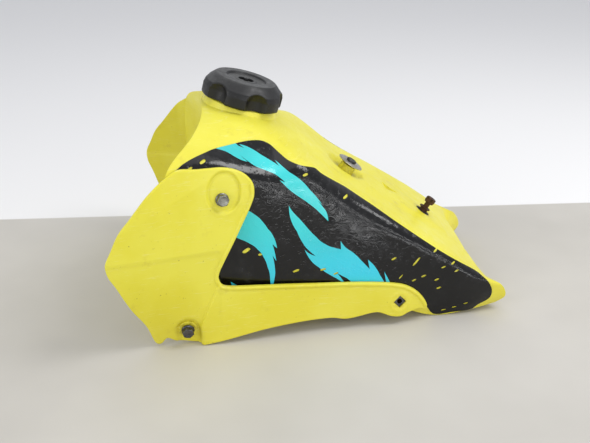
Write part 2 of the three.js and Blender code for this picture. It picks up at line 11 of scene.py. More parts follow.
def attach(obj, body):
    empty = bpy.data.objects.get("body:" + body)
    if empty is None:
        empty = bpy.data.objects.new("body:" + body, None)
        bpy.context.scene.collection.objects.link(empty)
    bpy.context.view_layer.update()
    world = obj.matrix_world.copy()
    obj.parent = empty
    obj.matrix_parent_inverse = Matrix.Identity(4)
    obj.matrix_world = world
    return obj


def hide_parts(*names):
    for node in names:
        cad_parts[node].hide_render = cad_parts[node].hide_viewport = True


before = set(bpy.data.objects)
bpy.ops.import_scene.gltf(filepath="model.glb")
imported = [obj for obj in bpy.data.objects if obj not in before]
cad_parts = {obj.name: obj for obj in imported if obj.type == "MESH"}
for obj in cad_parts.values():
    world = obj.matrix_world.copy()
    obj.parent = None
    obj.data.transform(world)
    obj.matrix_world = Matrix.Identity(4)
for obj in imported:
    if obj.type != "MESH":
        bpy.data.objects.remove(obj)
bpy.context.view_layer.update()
scene = bpy.context.scene
MM = 0.001

# ---- Camera
CAMERA_PLACE = (-0.068, -0.7096, 0.4035)
CAMERA_PITCH = math.radians(25.2)
CAMERA_YAW = math.radians(4.0)


def make_camera():
    data = bpy.data.cameras.new("camera")
    data.lens = 42.71
    data.sensor_width = 36
    data.clip_start = 0.05
    camera = bpy.data.objects.new("camera", data)
    scene.collection.objects.link(camera)
    camera.location = CAMERA_PLACE
    level = math.cos(CAMERA_PITCH)
    forward = Vector((math.sin(CAMERA_YAW) * level, math.cos(CAMERA_YAW) * level, -math.sin(CAMERA_PITCH)))
    camera.rotation_euler = forward.to_track_quat("-Z", "Y").to_euler()
    scene.camera = camera


make_camera()

# ---- Dimensions, as in the part's drawing
GAP = 0.3
WALL = 4
LEAST_WALL = 3  # at sharp edges, along each axis
DECK_TILT = math.atan2(0.545, 0.84)
CAP_TILT = math.radians(15.5)
CAP_BASE = (-74.2, 0, 209.6)
NECK_RADIUS = 29.6
NECK_BORE = 24
NECK_HEIGHT = 10.5
THREAD_PITCH = 4
THREAD_STARTS = 2
THREAD_BASE = 1.4
SHROUD_THICKNESS = 3
BOLT_RADIUS = 3
BOLT_CLEARANCE = 3.3  # radius of the holes for M6 bolts
COLLAR_RADIUS = 4.7
HEXAGON = 10  # across the flats of M6 heads and nuts
UPPER_BOLT = (-93.5, 150.3)
LOWER_BOLT = (-131.9, 18.2)
REAR_NUT = (81.4, 25.4)
REAR_MOUNT = (125.6, 0, 77.1)
SEAT_HOOK = (38.5, 0, 132.4)
DIMPLE = (88.5, 13, 102.5)
HOOK_TOP = 4
TAP_CENTRE = (18, -78, 25.6)
UPPER_TANK_FACE = -4.4
REAR_TANK_FACE = -6
INSERT_LENGTH = 12
RECESS_DEPTH = 1.2
INSERTS = ((UPPER_BOLT, UPPER_TANK_FACE), (REAR_NUT, REAR_TANK_FACE))  # each place and its tank face
TAP_SCREW_REACH = 17
DENT_REACH = 13
DENT_DEPTH = 4.0

# ---- Mesh helpers


def as_object(name, points, faces, smooth_angle=40):
    """A linked object from points in millimetres."""
    mesh = bpy.data.meshes.new(name)
    mesh.from_pydata((np.asarray(points, float) * MM).tolist(), [], faces)
    mesh.update()
    mesh.shade_smooth()
    mesh.set_sharp_from_angle(angle=math.radians(smooth_angle))
    obj = bpy.data.objects.new(name, mesh)
    scene.collection.objects.link(obj)
    return obj


def piece(obj, material, body="root", replaces=()):
    """Dresses an object and fastens it to its CAD body."""
    obj.data.materials.clear()
    obj.data.materials.append(material)
    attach(obj, body)
    if replaces:
        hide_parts(*replaces)
    return obj


def combine(target, cutters, operation):
    """Joins cutters to target, or cuts them from it, and removes them."""
    for cutter in cutters:
        modifier = target.modifiers.new("combine", "BOOLEAN")
        modifier.operation = operation
        modifier.object = cutter
        modifier.solver = "MANIFOLD"
    bpy.context.view_layer.update()
    graph = bpy.context.evaluated_depsgraph_get()
    mesh = bpy.data.meshes.new_from_object(target.evaluated_get(graph))
    target.modifiers.clear()
    target.data = mesh
    for cutter in cutters:
        bpy.data.objects.remove(cutter)
    return target


def finish_edges(obj, angle=32):
    obj.data.shade_smooth()
    obj.data.set_sharp_from_angle(angle=math.radians(angle))
    return obj


def axis_matrix(origin, direction):
    """Turns +Z to a direction by the shortest way and moves the origin to a place."""
    turn = Vector((0, 0, 1)).rotation_difference(Vector(direction).normalized())
    return np.array(Matrix.Translation(origin) @ turn.to_matrix().to_4x4())


def moved(points, matrix):
    points = np.asarray(points, float)
    return points @ matrix[:3, :3].T + matrix[:3, 3]


def mirrored_y(points, faces):
    points = np.asarray(points, float) * (1, -1, 1)
    return points, [tuple(reversed(face)) for face in faces]


def revolve(profile, segments=48, radius_at=None):
    """Points and faces of a round solid about +Z. The profile is [radius, height] pairs and starts and
    ends on the axis, or closes on itself. radius_at(radius, height, angles) may wave the radius."""
    closed = tuple(profile[0]) == tuple(profile[-1])
    rows = profile[:-1] if closed else profile
    angles = np.arange(segments) * 2 * math.pi / segments
    points, rings = [], []
    for radius, height in rows:
        if radius < 1e-6:
            rings.append([len(points)])
            points.append((0, 0, height))
            continue
        radii = radius_at(radius, height, angles) if radius_at else np.full(segments, float(radius))
        rings.append(list(range(len(points), len(points) + segments)))
        heights = np.full(segments, height)
        points.extend(np.column_stack([radii * np.cos(angles), radii * np.sin(angles), heights]))
    faces = []
    pairs = list(zip(rings, rings[1:] + rings[:1])) if closed else list(zip(rings, rings[1:]))
    for low, high in pairs:
        for j in range(segments):
            k = (j + 1) % segments
            face = [low[j % len(low)], low[k % len(low)], high[k % len(high)], high[j % len(high)]]
            faces.append(tuple(dict.fromkeys(face)))
    return np.array(points), faces


def rounded(profile, radius, steps=4):
    """The profile with its corners rounded."""
    result = [tuple(profile[0])]
    for before, corner, after in zip(profile, profile[1:], profile[2:]):
        a, b, c = (np.array(p, float) for p in (before, corner, after))
        reach = min(radius, np.linalg.norm(a - b) * 0.45, np.linalg.norm(c - b) * 0.45)
        start = b + (a - b) / np.linalg.norm(a - b) * reach
        end = b + (c - b) / np.linalg.norm(c - b) * reach
        for i in range(steps + 1):
            t = i / steps
            result.append(tuple(start * (1 - t) ** 2 + b * 2 * t * (1 - t) + end * t * t))
    result.append(tuple(profile[-1]))
    return result


def ring_solid(rings):
    """A closed solid from equal rings; each end is closed by pairing its ring's two halves."""
    rings = np.asarray(rings, float)
    rows, count = rings.shape[:2]
    faces = []
    for i in range(rows - 1):
        for j in range(count):
            a, b = i * count + j, i * count + (j + 1) % count
            faces.append((a, a + count, b + count, b))
    last = (rows - 1) * count
    for j in range(count // 2 - 1):
        a, b, c, d = j, j + 1, count - 2 - j, count - 1 - j
        faces.append((a, b, c, d))
        faces.append((last + a, last + d, last + c, last + b))
    return rings.reshape(-1, 3), faces


def hexagon_radius_at(radius, height, angles):
    """The profile's radius, cut back to the flats of a hexagon."""
    flat = HEXAGON / 2 / np.cos((angles + math.pi / 6) % (math.pi / 3) - math.pi / 6)
    return np.minimum(flat, radius)


def hexagon(low, high):
    """A hexagon head with a chamfered, slightly dished top."""
    half = HEXAGON / 2
    corner = half / math.cos(math.pi / 6)
    edge = corner - half * 0.93
    drop = edge * 0.58
    profile = [(0, low), (corner * 0.97, low), (corner, low + 0.25), (corner, high - drop)]
    profile += [(corner - edge * t, high - drop * (1 - t)) for t in (0.25, 0.5, 0.75, 1)]
    profile += [(half * 0.86, high + 0.02), (half * 0.66, high - 0.35), (half * 0.4, high - 0.42)]
    return revolve(profile + [(0, high - 0.42)], 72, hexagon_radius_at)


def merge(*parts):
    """Several meshes as one list of points and faces."""
    points, faces, start = [], [], 0
    for part_points, part_faces in parts:
        points.append(np.asarray(part_points, float))
        faces.extend(tuple(v + start for v in face) for face in part_faces)
        start += len(part_points)
    return np.vstack(points), faces


# ---- Curves


def spline(points, shares):
    """Points on a centripetal Catmull-Rom curve at shares from 0 to 1 of its count of spans."""
    points = np.asarray(points, float)
    first = 2 * points[0] - points[1]
    last = 2 * points[-1] - points[-2]
    padded = np.vstack([first, points, last])
    place = np.clip(np.asarray(shares, float), 0, 1) * (len(points) - 1)
    span = np.minimum(place.astype(int), len(points) - 2)
    weight = (place - span)[:, None]
    p0, p1, p2, p3 = (padded[span + k] for k in range(4))

    def knot(a, b):
        return np.maximum(np.sum((b - a) ** 2, axis=1), 1e-12)[:, None] ** 0.25

    d0, d1, d2 = knot(p0, p1), knot(p1, p2), knot(p2, p3)
    t1 = ((p1 - p0) / d0 - (p2 - p0) / (d0 + d1) + (p2 - p1) / d1) * d1
    t2 = ((p2 - p1) / d1 - (p3 - p1) / (d1 + d2) + (p3 - p2) / d2) * d1
    c2 = -3 * p1 + 3 * p2 - 2 * t1 - t2
    c3 = 2 * p1 - 2 * p2 + t1 + t2
    return p1 + t1 * weight + c2 * weight ** 2 + c3 * weight ** 3


def closed_spline(points, per_span=6):
    """A smooth closed curve through points, as a polygon."""
    points = np.asarray(points, float)
    ring = np.vstack([points[-2:], points, points[:3]])
    spans = len(ring) - 1
    shares = np.arange(2 * per_span, (2 + len(points)) * per_span) / per_span / spans
    return spline(ring, shares)


def read_curve(pairs, x):
    """A smooth curve through [x, y] pairs, read at the numbers x."""
    pairs = np.asarray(pairs, float)
    last = len(pairs) - 1
    i = np.clip(np.searchsorted(pairs[:, 0], x, side="right"), 1, last)
    low, high = pairs[i - 1], pairs[i]

    def slope(a, b):
        return (pairs[b, 1] - pairs[a, 1]) / (pairs[b, 0] - pairs[a, 0])

    width = high[..., 0] - low[..., 0]
    m0 = slope(np.maximum(i - 2, 0), i) * width
    m1 = slope(i - 1, np.minimum(i + 1, last)) * width
    t = np.clip((x - low[..., 0]) / width, 0, 1)
    bend = t * t * (3 - 2 * t)
    return low[..., 1] + (high[..., 1] - low[..., 1]) * bend + m0 * t * (1 - t) ** 2 - m1 * t * t * (1 - t)


def step(low, high, value):
    t = np.clip((value - low) / (high - low), 0, 1)
    return t * t * (3 - 2 * t)


def inside(polygon, points):
    """Which of the points lie in a polygon."""
    polygon = np.asarray(polygon, float)
    x, z = points[:, 0], points[:, 1]
    result = np.zeros(len(points), bool)
    for (x0, z0), (x1, z1) in zip(polygon, np.roll(polygon, -1, axis=0)):
        crosses = (z0 > z) != (z1 > z)
        with np.errstate(divide="ignore", invalid="ignore"):
            reach = (x1 - x0) * (z - z0) / (z1 - z0) + x0
        result ^= crosses & (x < reach)
    return result


def distance_to(line, points, closed=False):
    """Distance of each point from a polyline."""
    line = np.asarray(line, float)
    ends = np.roll(line, -1, axis=0) if closed else line[1:]
    best = np.full(len(points), 1e9)
    for a, b in zip(line, ends):
        along = np.clip(((points - a) @ (b - a)) / max((b - a) @ (b - a), 1e-12), 0, 1)
        best = np.minimum(best, np.linalg.norm(points - a - along[:, None] * (b - a), axis=1))
    return best


def inset(polygon, distance):
    """A polygon moved inwards by a small distance. The polygon runs anticlockwise."""
    polygon = np.asarray(polygon, float)
    before, after = np.roll(polygon, 1, axis=0), np.roll(polygon, -1, axis=0)
    along = after - before
    along /= np.linalg.norm(along, axis=1)[:, None]
    return polygon + np.column_stack([-along[:, 1], along[:, 0]]) * distance


def anticlockwise(polygon):
    polygon = np.asarray(polygon, float)
    following = np.roll(polygon, -1, axis=0)
    area = np.sum(polygon[:, 0] * following[:, 1] - following[:, 0] * polygon[:, 1])
    return polygon if area > 0 else polygon[::-1]


def circle(centre, radius, count=40, height=None):
    angles = np.arange(count) * 2 * math.pi / count
    tall = radius if height is None else height
    return np.column_stack([centre[0] + radius * np.cos(angles), centre[1] + tall * np.sin(angles)])

# ---- Tank surface
OUTER_RAILS = [
    # top centre line: over the filler hump, then down the seat deck
    [(-115, 0, 212), (-100, 0, 212), (-72, 0, 206.5), (-45, 0, 194), (-20, 0, 178),
     (30, 0, 138), (80, 0, 106.5), (125, 0, 77.5), (150, 0, 60), (168, 0, 46)],
    # flank of the hump and deck
    [(-113, 45, 206.5), (-100, 47, 206.5), (-72, 47, 202.5), (-45, 46, 190), (-20, 44, 176),
     (30, 42, 136.5), (80, 45, 105), (125, 46, 76), (150, 46, 59), (168, 46, 46)],
    # upper edge of the shoulder
    [(-119.5, 82, 198.4), (-101, 92, 190.5), (-73, 80, 186), (-43, 74, 176.5), (-20, 84, 170.5),
     (30, 78, 134), (80, 86, 102.5), (125, 91, 73.5), (155, 91, 53), (178, 86, 38)],
    # lower edge of the shoulder
    [(-141, 130, 179.5), (-103, 114, 181), (-72, 106.5, 169.5), (-43, 96, 163), (-20, 92, 163),
     (30, 86.5, 127), (80, 93, 96), (125, 96.5, 67), (158, 96, 46), (190.5, 91, 33)],
    # upper side
    [(-145, 132, 155), (-104, 119.5, 150), (-72, 112.5, 145), (-43, 104, 140), (-20, 100, 135),
     (30, 94, 105), (80, 97, 80), (125, 98, 54), (158, 97, 34), (197.3, 90, 23.8)],
    # lower side
    [(-140, 120, 70), (-104, 120.5, 66), (-72, 115.5, 62), (-43, 112, 60), (-20, 109, 58),
     (30, 104, 52), (80, 101.5, 40), (123, 97.5, 18), (158, 96, 15), (198.5, 88, 15)],
    # bottom edge, outside
    [(-122, 108, 28), (-100, 112, 24), (-72, 111, 23), (-43, 109, 24), (-20, 107, 26),
     (30, 103, 29), (80, 100, 15), (121, 96, 0.8), (158, 93, 3.5), (190, 85, 6.5)],
]
TUNNEL_RAILS = [
    # roof of the frame tunnel
    [(-100, 0, 158), (-88, 0, 150), (-66, 0, 142), (-43, 0, 134), (-20, 0, 124),
     (30, 0, 92), (80, 0, 64), (121, 0, 44), (148, 0, 36), (160, 0, 31)],
    # upper corner of the tunnel
    [(-106, 50, 142), (-92, 42, 140), (-70, 38, 132), (-43, 36, 125), (-20, 35, 115),
     (30, 32, 84), (80, 31, 56), (121, 32, 37), (150, 34, 31), (166, 40, 27)],
    # bottom edge, inside
    [(-110, 66, 28), (-95, 62, 24), (-72, 58, 23), (-43, 54, 24), (-20, 52, 26),
     (30, 48, 29), (80, 46, 17), (118, 50, 4), (156, 54, 7), (182, 60, 12)],
]
STATIONS = 150
SECTION_STEPS = 168


def section_grid(rails, stations, steps):
    """Points of a sheet, station by station, from the left bottom edge over the top to the right one."""
    shares = np.arange(stations + 1) / stations
    half = np.array([spline(points, shares) for points in rails])
    other = half[1:][::-1] * (1, -1, 1)
    control = np.concatenate([other, half])
    across = np.arange(steps + 1) / steps
    return np.array([spline(control[:, i], across) for i in range(stations + 1)])


def grid_normals(grid):
    along = np.gradient(grid, axis=0)
    across = np.gradient(grid, axis=1)
    normal = np.cross(along, across)
    return normal / np.linalg.norm(normal, axis=2)[..., None]


def deck_frame(origin):
    return axis_matrix(origin, (math.sin(DECK_TILT), 0, math.cos(DECK_TILT)))


def in_frame(points, matrix):
    """Points in the local axes of a frame."""
    return (points - matrix[:3, 3]) @ matrix[:3, :3]


def tank_relief(points):
    """How far the moulded skin stands out from the plain surface: the seat hook's dish, the mount's pad and
    the grooves beside it.
    """
    hook = in_frame(points, deck_frame(SEAT_HOOK))
    near_deck = np.abs(hook[..., 2]) < 25
    uphill = np.where(hook[..., 0] < 0, 26.0, 21.0)
    bowl = np.hypot(hook[..., 0] / uphill, hook[..., 1] / 21.0)
    rise = -4.0 * (1 - step(0.8, 1.0, bowl)) * near_deck
    mount = in_frame(points, deck_frame(REAR_MOUNT))
    near_mount = np.abs(mount[..., 2]) < 25
    pad = np.maximum(np.abs(mount[..., 0] + 2) / 31, np.abs(mount[..., 1]) / 26)
    rise += 1.1 * (1 - step(0.92, 1.08, pad)) * near_mount
    groove = np.abs(np.abs(mount[..., 1]) - 36)
    rise -= 0.5 * (1 - step(0, 2.2, groove)) * near_mount * step(-80, -60, mount[..., 0])
    return rise


tank_grid = section_grid(OUTER_RAILS, STATIONS, SECTION_STEPS)
tank_normals = grid_normals(tank_grid)
tank_skin = tank_grid + tank_normals * tank_relief(tank_grid)[..., None]
tunnel_grid = section_grid(TUNNEL_RAILS, STATIONS, SECTION_STEPS)


def thread_ridge(radius, height, base, turns, phase):
    """A helical ridge on a wall at the given radius; a negative height points inwards."""
    steps_per_turn = 72
    count = round(turns * steps_per_turn)
    lead = THREAD_PITCH * THREAD_STARTS
    root = radius - math.copysign(1, height)
    rings = []
    for i in range(count + 1):
        turn = i / steps_per_turn * 2 * math.pi
        fade = min(1, i / 8, (count - i) / 8) * 0.9 + 0.1
        crest = radius + height * fade
        section = [(root, -1.1), (crest, -0.4), (crest, 0.4), (root, 1.1)]
        ring = [(r * math.cos(turn + phase), r * math.sin(turn + phase),
                 base + turn / (2 * math.pi) * lead + h) for r, h in section]
        rings.append(ring if height > 0 else ring[::-1])
    return ring_solid(rings)


def threads(radius, height, base, turns):
    return [thread_ridge(radius, height, base, turns, k * 2 * math.pi / THREAD_STARTS)
            for k in range(THREAD_STARTS)]


CAP_FRAME = axis_matrix(CAP_BASE, (math.sin(CAP_TILT), 0, math.cos(CAP_TILT)))


def placed(shape, matrix):
    points, faces = shape
    return moved(points, matrix), faces


def cylinder(radius, low, high, segments=48, edge=0.0):
    profile = [(0, low), (radius, low), (radius, high), (0, high)]
    return revolve(rounded(profile, edge) if edge else profile, segments)


def tube(inner, outer, low, high, segments=48, edge=0.3):
    """A round tube with softened edges."""
    e = min(edge, (outer - inner) * 0.3, (high - low) * 0.3)
    profile = [(inner + e, low), (outer - e, low), (outer - e * 0.3, low + e * 0.3), (outer, low + e),
               (outer, high - e), (outer - e * 0.3, high - e * 0.3), (outer - e, high), (inner + e, high),
               (inner + e * 0.3, high - e * 0.3), (inner, high - e), (inner, low + e),
               (inner + e * 0.3, low + e * 0.3), (inner + e, low)]
    return revolve(profile, segments)


# ---- Outer face of the shrouds
RIDGE_Z = 102
TOP_Z = 170
LOWER_LINE = [(-205, 142), (-163, 134), (-140, 132), (-122, 132.5), (-116, 134.5), (-60, 129.5),
              (0, 120), (25, 116), (80, 112.5), (110, 105), (125, 101)]
RIDGE_LINE = [(-205, 157), (-163, 148), (-130, 138.5), (-100, 129.5), (-60, 119.5), (0, 110), (125, 98)]
UPPER_LINE = [(-205, 150), (-156, 147), (-144, 139.5), (-130, 133.2), (-110, 125.4), (-94, 120),
              (-72, 114), (-55, 111), (125, 92)]


def shroud_face(x, z):
    x, z = np.asarray(x, float), np.asarray(z, float)
    ridge = read_curve(RIDGE_LINE, x)
    below = ridge + (read_curve(LOWER_LINE, x) - ridge) * (1 - np.clip(z, 0, RIDGE_Z) / RIDGE_Z) ** 2
    rise = np.clip((z - RIDGE_Z) / (TOP_Z - RIDGE_Z), 0, 1.3)
    above = ridge + (read_curve(UPPER_LINE, x) - ridge) * rise ** 1.4
    return np.where(z < RIDGE_Z, below, above)


def bolt_frame(place):
    """The right shroud's axes at a bolt: +Z square to its face, z = 0 on the bolt's seat."""
    x, z = place
    slope_x = float(shroud_face(x + 5, z) - shroud_face(x - 5, z)) / 10
    slope_z = float(shroud_face(x, z + 5) - shroud_face(x, z - 5)) / 10
    seat = float(shroud_face(x, z)) - RECESS_DEPTH
    return axis_matrix((x, seat, z), (-slope_x, 1, -slope_z))


# ---- Tank


def both_sides(shape):
    return [shape, mirrored_y(*shape)]


def make_tank(material):
    rings = np.concatenate([tank_skin, tunnel_grid[:, ::-1]], axis=1)
    tank = as_object("tank_body", *ring_solid(rings))
    deck = deck_frame(SEAT_HOOK)
    mount = deck_frame(REAR_MOUNT)
    neck_profile = rounded([(0, -12), (40, -12), (36.5, -0.9), (NECK_RADIUS, -0.6),
                            (NECK_RADIUS, NECK_HEIGHT), (0, NECK_HEIGHT)], 0.8)
    tap_pad = block((50, 28, 16), (TAP_CENTRE[0], TAP_CENTRE[1], TAP_CENTRE[2] + 8))
    additions = [
        placed(revolve(neck_profile, 96), CAP_FRAME),
        *[placed(ridge, CAP_FRAME) for ridge in threads(NECK_RADIUS, 1.8, THREAD_BASE, 0.95)],
        placed(revolve(rounded([(0, -8), (9.6, -8), (8.6, HOOK_TOP), (0, HOOK_TOP)], 0.8), 64), deck),
        tap_pad,
    ]
    combine(tank, [as_object("add", *shape) for shape in additions], "UNION")
    coarse = [section_grid(rails, 40, 40) for rails in (OUTER_RAILS, TUNNEL_RAILS)]
    plain, plain_faces = ring_solid(np.concatenate([coarse[0], coarse[1][:, ::-1]], axis=1))
    hollow = as_object("cavity", *offset_inwards((plain, plain_faces), WALL))
    shifts = [axis * distance for axis in np.eye(3) for distance in (LEAST_WALL, -LEAST_WALL)]
    combine(hollow, [as_object("shifted", plain + shift, plain_faces) for shift in shifts], "INTERSECT")
    tap = np.array(TAP_CENTRE)
    bosses = [
        placed(cylinder(24, -9, 30), deck), placed(cylinder(9, -22, 5), deck),
        placed(cylinder(13, -7, 12), deck_frame(DIMPLE)), placed(cylinder(14, -60, 6), mount), tap_pad,
        block((24, 90, 40), (170, 0, 30)),  # keeps the thin tail solid
    ]
    for place, face in INSERTS:
        bosses += both_sides(placed(cylinder(9, face - 17, 5), bolt_frame(place)))
    combine(hollow, [as_object("boss", *shape) for shape in bosses], "DIFFERENCE")
    cuts = [
        placed(cylinder(NECK_BORE, -18, 30, 96), CAP_FRAME),
        placed(cylinder(4.8, -16, 5), deck),
        placed(cylinder(7.5, -80, 10), mount),
        placed(cylinder(8.8, -1.4, 10), mount),
        placed(triangular_dent(DENT_REACH, DENT_DEPTH), deck_frame(DIMPLE)),
        placed(cylinder(6.6, -5, 60), axis_matrix(tap, (0, 0, 1))),
        *[placed(cylinder(5, -5, 11), axis_matrix(tap + (dx, 0, 0), (0, 0, 1)))
          for dx in (-TAP_SCREW_REACH, TAP_SCREW_REACH)],
    ]
    for place, face in INSERTS:
        cuts += both_sides(placed(cylinder(5.8, face - INSERT_LENGTH - 0.6, 20), bolt_frame(place)))
    combine(tank, [hollow, *[as_object("cut", *shape) for shape in cuts]], "DIFFERENCE")
    finish_edges(tank)
    return piece(tank, material, replaces=["tank"])


def triangular_dent(reach, depth):
    """A rounded triangle with sloping walls, to be cut into the deck."""
    corners = [(math.cos(a), math.sin(a)) for a in (0, 2 * math.pi / 3, 4 * math.pi / 3)]
    mids = [((a[0] + b[0]) / 2, (a[1] + b[1]) / 2) for a, b in zip(corners, corners[1:] + corners[:1])]
    outline = closed_spline([p for pair in zip(corners, mids) for p in pair], 8)
    rings = [np.column_stack([outline * reach * share, np.full(len(outline), height)])
             for share, height in ((0.72, -depth), (0.8, -depth + 0.2), (0.98, -0.2), (1.3, 4))]
    points = np.vstack(rings)
    count = len(outline)
    faces = [tuple(range(count))[::-1], tuple(range(3 * count, 4 * count))]
    for i in range(3):
        for j in range(count):
            k = (j + 1) % count
            faces.append((i * count + j, i * count + k, (i + 1) * count + k, (i + 1) * count + j))
    return points, faces


def block(size, centre):
    """A box as points and faces."""
    corners = np.array([(x, y, z) for x in (-0.5, 0.5) for y in (-0.5, 0.5) for z in (-0.5, 0.5)])
    faces = [(0, 1, 3, 2), (4, 6, 7, 5), (0, 4, 5, 1), (2, 3, 7, 6), (0, 2, 6, 4), (1, 5, 7, 3)]
    return corners * size + np.array(centre), faces


def offset_inwards(shape, distance):
    """A shape moved inwards along its vertex normals."""
    obj = as_object("offset", *shape)
    normals = np.zeros(len(obj.data.vertices) * 3)
    obj.data.vertices.foreach_get("normal", normals)
    bpy.data.objects.remove(obj)
    return shape[0] - normals.reshape(-1, 3) * distance, shape[1]

# ---- Materials


class Nodes:
    """Short ways to add and join the nodes of one material."""

    def __init__(self, name):
        self.material = bpy.data.materials.new(name)
        self.material.use_nodes = True
        self.tree = self.material.node_tree
        self.shader = self.tree.nodes["Principled BSDF"]
        self.place = self.add("ShaderNodeTexCoord").outputs["Object"]

    def add(self, kind, **settings):
        node = self.tree.nodes.new(kind)
        for key, value in settings.items():
            setattr(node, key, value)
        return node

    def feed(self, node, socket, value):
        if isinstance(value, bpy.types.NodeSocket):
            self.tree.links.new(value, node.inputs[socket])
        else:
            node.inputs[socket].default_value = value

    def set(self, socket, value):
        self.feed(self.shader, socket, value)

    def surface(self, color, roughness, normal):
        for socket, value in (("Base Color", color), ("Roughness", roughness), ("Normal", normal)):
            self.set(socket, value)
        return self.material

    def noise(self, scale, detail=4.0, roughness=0.55, stretch=None, distortion=0.0):
        place = self.place
        if stretch:
            mapping = self.add("ShaderNodeMapping")
            self.feed(mapping, "Vector", place)
            mapping.inputs["Scale"].default_value = stretch
            place = mapping.outputs["Vector"]
        node = self.add("ShaderNodeTexNoise")
        self.feed(node, "Vector", place)
        for socket, value in (("Scale", scale), ("Detail", detail), ("Roughness", roughness),
                              ("Distortion", distortion)):
            node.inputs[socket].default_value = value
        return node.outputs["Fac"]

    def ramp(self, value, low, high, from_value=0.0, to_value=1.0):
        node = self.add("ShaderNodeMapRange", interpolation_type="SMOOTHSTEP")
        for socket, number in (("Value", value), ("From Min", low), ("From Max", high),
                               ("To Min", from_value), ("To Max", to_value)):
            self.feed(node, socket, number)
        return node.outputs["Result"]

    def math(self, operation, a, b=0.0):
        node = self.add("ShaderNodeMath", operation=operation)
        self.feed(node, 0, a)
        self.feed(node, 1, b)
        return node.outputs["Value"]

    def mix(self, factor, a, b):
        node = self.add("ShaderNodeMix", data_type="RGBA")
        self.feed(node, 0, factor)
        for index, value in ((6, a), (7, b)):
            self.feed(node, index, value if isinstance(value, bpy.types.NodeSocket) else (*value, 1))
        return node.outputs[2]

    def cover(self, color, mask, strength, over):
        """A colour with another laid over it where a mask says."""
        return self.mix(self.math("MULTIPLY", mask, strength), color, over)

    def coordinate(self, axis, vector=None):
        split = self.add("ShaderNodeSeparateXYZ")
        self.feed(split, 0, vector or self.place)
        return split.outputs[axis]

    def bump(self, height, strength, distance=0.0005, under=None):
        node = self.add("ShaderNodeBump")
        self.feed(node, "Height", height)
        node.inputs["Strength"].default_value = strength
        node.inputs["Distance"].default_value = distance
        if under is not None:
            self.feed(node, "Normal", under)
        return node.outputs["Normal"]

    def near(self, centre, low, high):
        """1 within low metres of a place, falling to 0 at high metres."""
        node = self.add("ShaderNodeVectorMath", operation="DISTANCE")
        self.feed(node, 0, self.place)
        node.inputs[1].default_value = centre
        return self.ramp(node.outputs["Value"], low, high, 1.0, 0.0)


def linear(red, green, blue):
    """A colour given in sRGB steps of 0 to 255, as linear light."""
    return tuple(((c / 255 + 0.055) / 1.055) ** 2.4 if c > 10 else c / 3295 for c in (red, green, blue))


def yellow_plastic(name, dirt_places):
    """Faded polyethylene that lets a little light through, scuffed, with dirt in the dishes and a painted
    shade towards the bottom.
    """
    n = Nodes(name)
    color = n.mix(n.ramp(n.noise(14, 5), 0.35, 0.7), linear(228, 218, 56), linear(235, 227, 78))
    # painted shade: over the lowest 10 cm the yellow turns a deeper, darker shade towards the floor
    low = n.ramp(n.coordinate(2), 0.0, 0.1, 1.0, 0.0)
    color = n.cover(color, low, 0.3, linear(205, 186, 40))
    grime = n.ramp(n.noise(38, 8, 0.7), 0.56, 0.74)
    color = n.cover(color, grime, 0.28, linear(176, 150, 60))
    specks = n.ramp(n.noise(420, 3, 0.5), 0.71, 0.76)
    color = n.cover(color, specks, 0.55, linear(120, 96, 44))
    scratch = n.ramp(n.noise(60, 2, 0.4, (1.0, 1.0, 14.0), 1.2), 0.64, 0.68)
    color = n.cover(color, scratch, 0.14, linear(250, 244, 190))
    for centre, radius, strength in dirt_places:
        mottle = n.ramp(n.noise(160, 6, 0.7), 0.38, 0.66)
        patch = n.math("MULTIPLY", n.near(centre, radius * 0.35, radius), mottle)
        color = n.cover(color, patch, strength, linear(112, 84, 34))
    n.set("Subsurface Weight", 0.12)
    n.set("Subsurface Radius", (0.006, 0.005, 0.001))
    n.set("Subsurface Scale", 1.0)
    n.set("Specular IOR Level", 0.45)
    waves = n.bump(n.noise(22, 2), 0.25, 0.0012)
    grain = n.bump(n.noise(900, 4, 0.6), 0.12, 0.0002, waves)
    return n.surface(color, n.ramp(n.noise(90, 6, 0.65), 0.3, 0.75, 0.34, 0.52), grain)


def decal_film(name, base, lower=None):
    """Glossy perforated vinyl, aged: shallow wrinkles, bubbles, sunken rings and a thin haze of dust."""
    n = Nodes(name)
    color = n.mix(n.ramp(n.noise(9, 3), 0.35, 0.7), base, tuple(c * 0.8 for c in base))
    if lower:
        color = n.mix(n.ramp(n.coordinate(2), 0.05, 0.12, 1.0, 0.0), color, lower)
    haze = n.ramp(n.noise(30, 7, 0.7), 0.5, 0.8)
    color = n.cover(color, haze, 0.05, linear(150, 152, 156))
    dust = n.ramp(n.noise(800, 3, 0.6), 0.7, 0.77)
    color = n.cover(color, dust, 0.25, linear(180, 178, 172))
    n.set("Specular IOR Level", 0.42)
    wrinkles = n.bump(n.noise(60, 4, 0.65, (1.0, 1.0, 1.6), 1.0), 0.3, 0.001)
    bubbles = n.bump(n.ramp(n.noise(240, 2, 0.4), 0.6, 0.72), 0.35, 0.0004, wrinkles)
    rings = n.bump(ring_marks(n), 0.3, 0.00025, bubbles)
    return n.surface(color, n.ramp(n.noise(120, 5, 0.7), 0.35, 0.7, 0.1, 0.24), rings)


def ring_marks(n):
    """Rings 4.2 mm across on a staggered grid, where the film has sunk into its perforations."""
    pitch = 0.011
    radius = 0.0021
    result = None
    for shift in (0.0, 0.5):
        reach = []
        for axis, size in ((0, pitch), (2, pitch * 1.5)):
            place = n.math("ADD", n.coordinate(axis), size * (shift + 100))
            reach.append(n.math("PINGPONG", place, size / 2))
        squares = n.math("ADD", *[n.math("MULTIPLY", r, r) for r in reach])
        ring = n.math("ABSOLUTE", n.math("SUBTRACT", n.math("SQRT", squares), radius))
        mark = n.ramp(ring, 0.0002, 0.0006, 1.0, 0.0)
        result = mark if result is None else n.math("MAXIMUM", result, mark)
    return n.math("MULTIPLY", result, n.ramp(n.noise(60, 3), 0.42, 0.62))


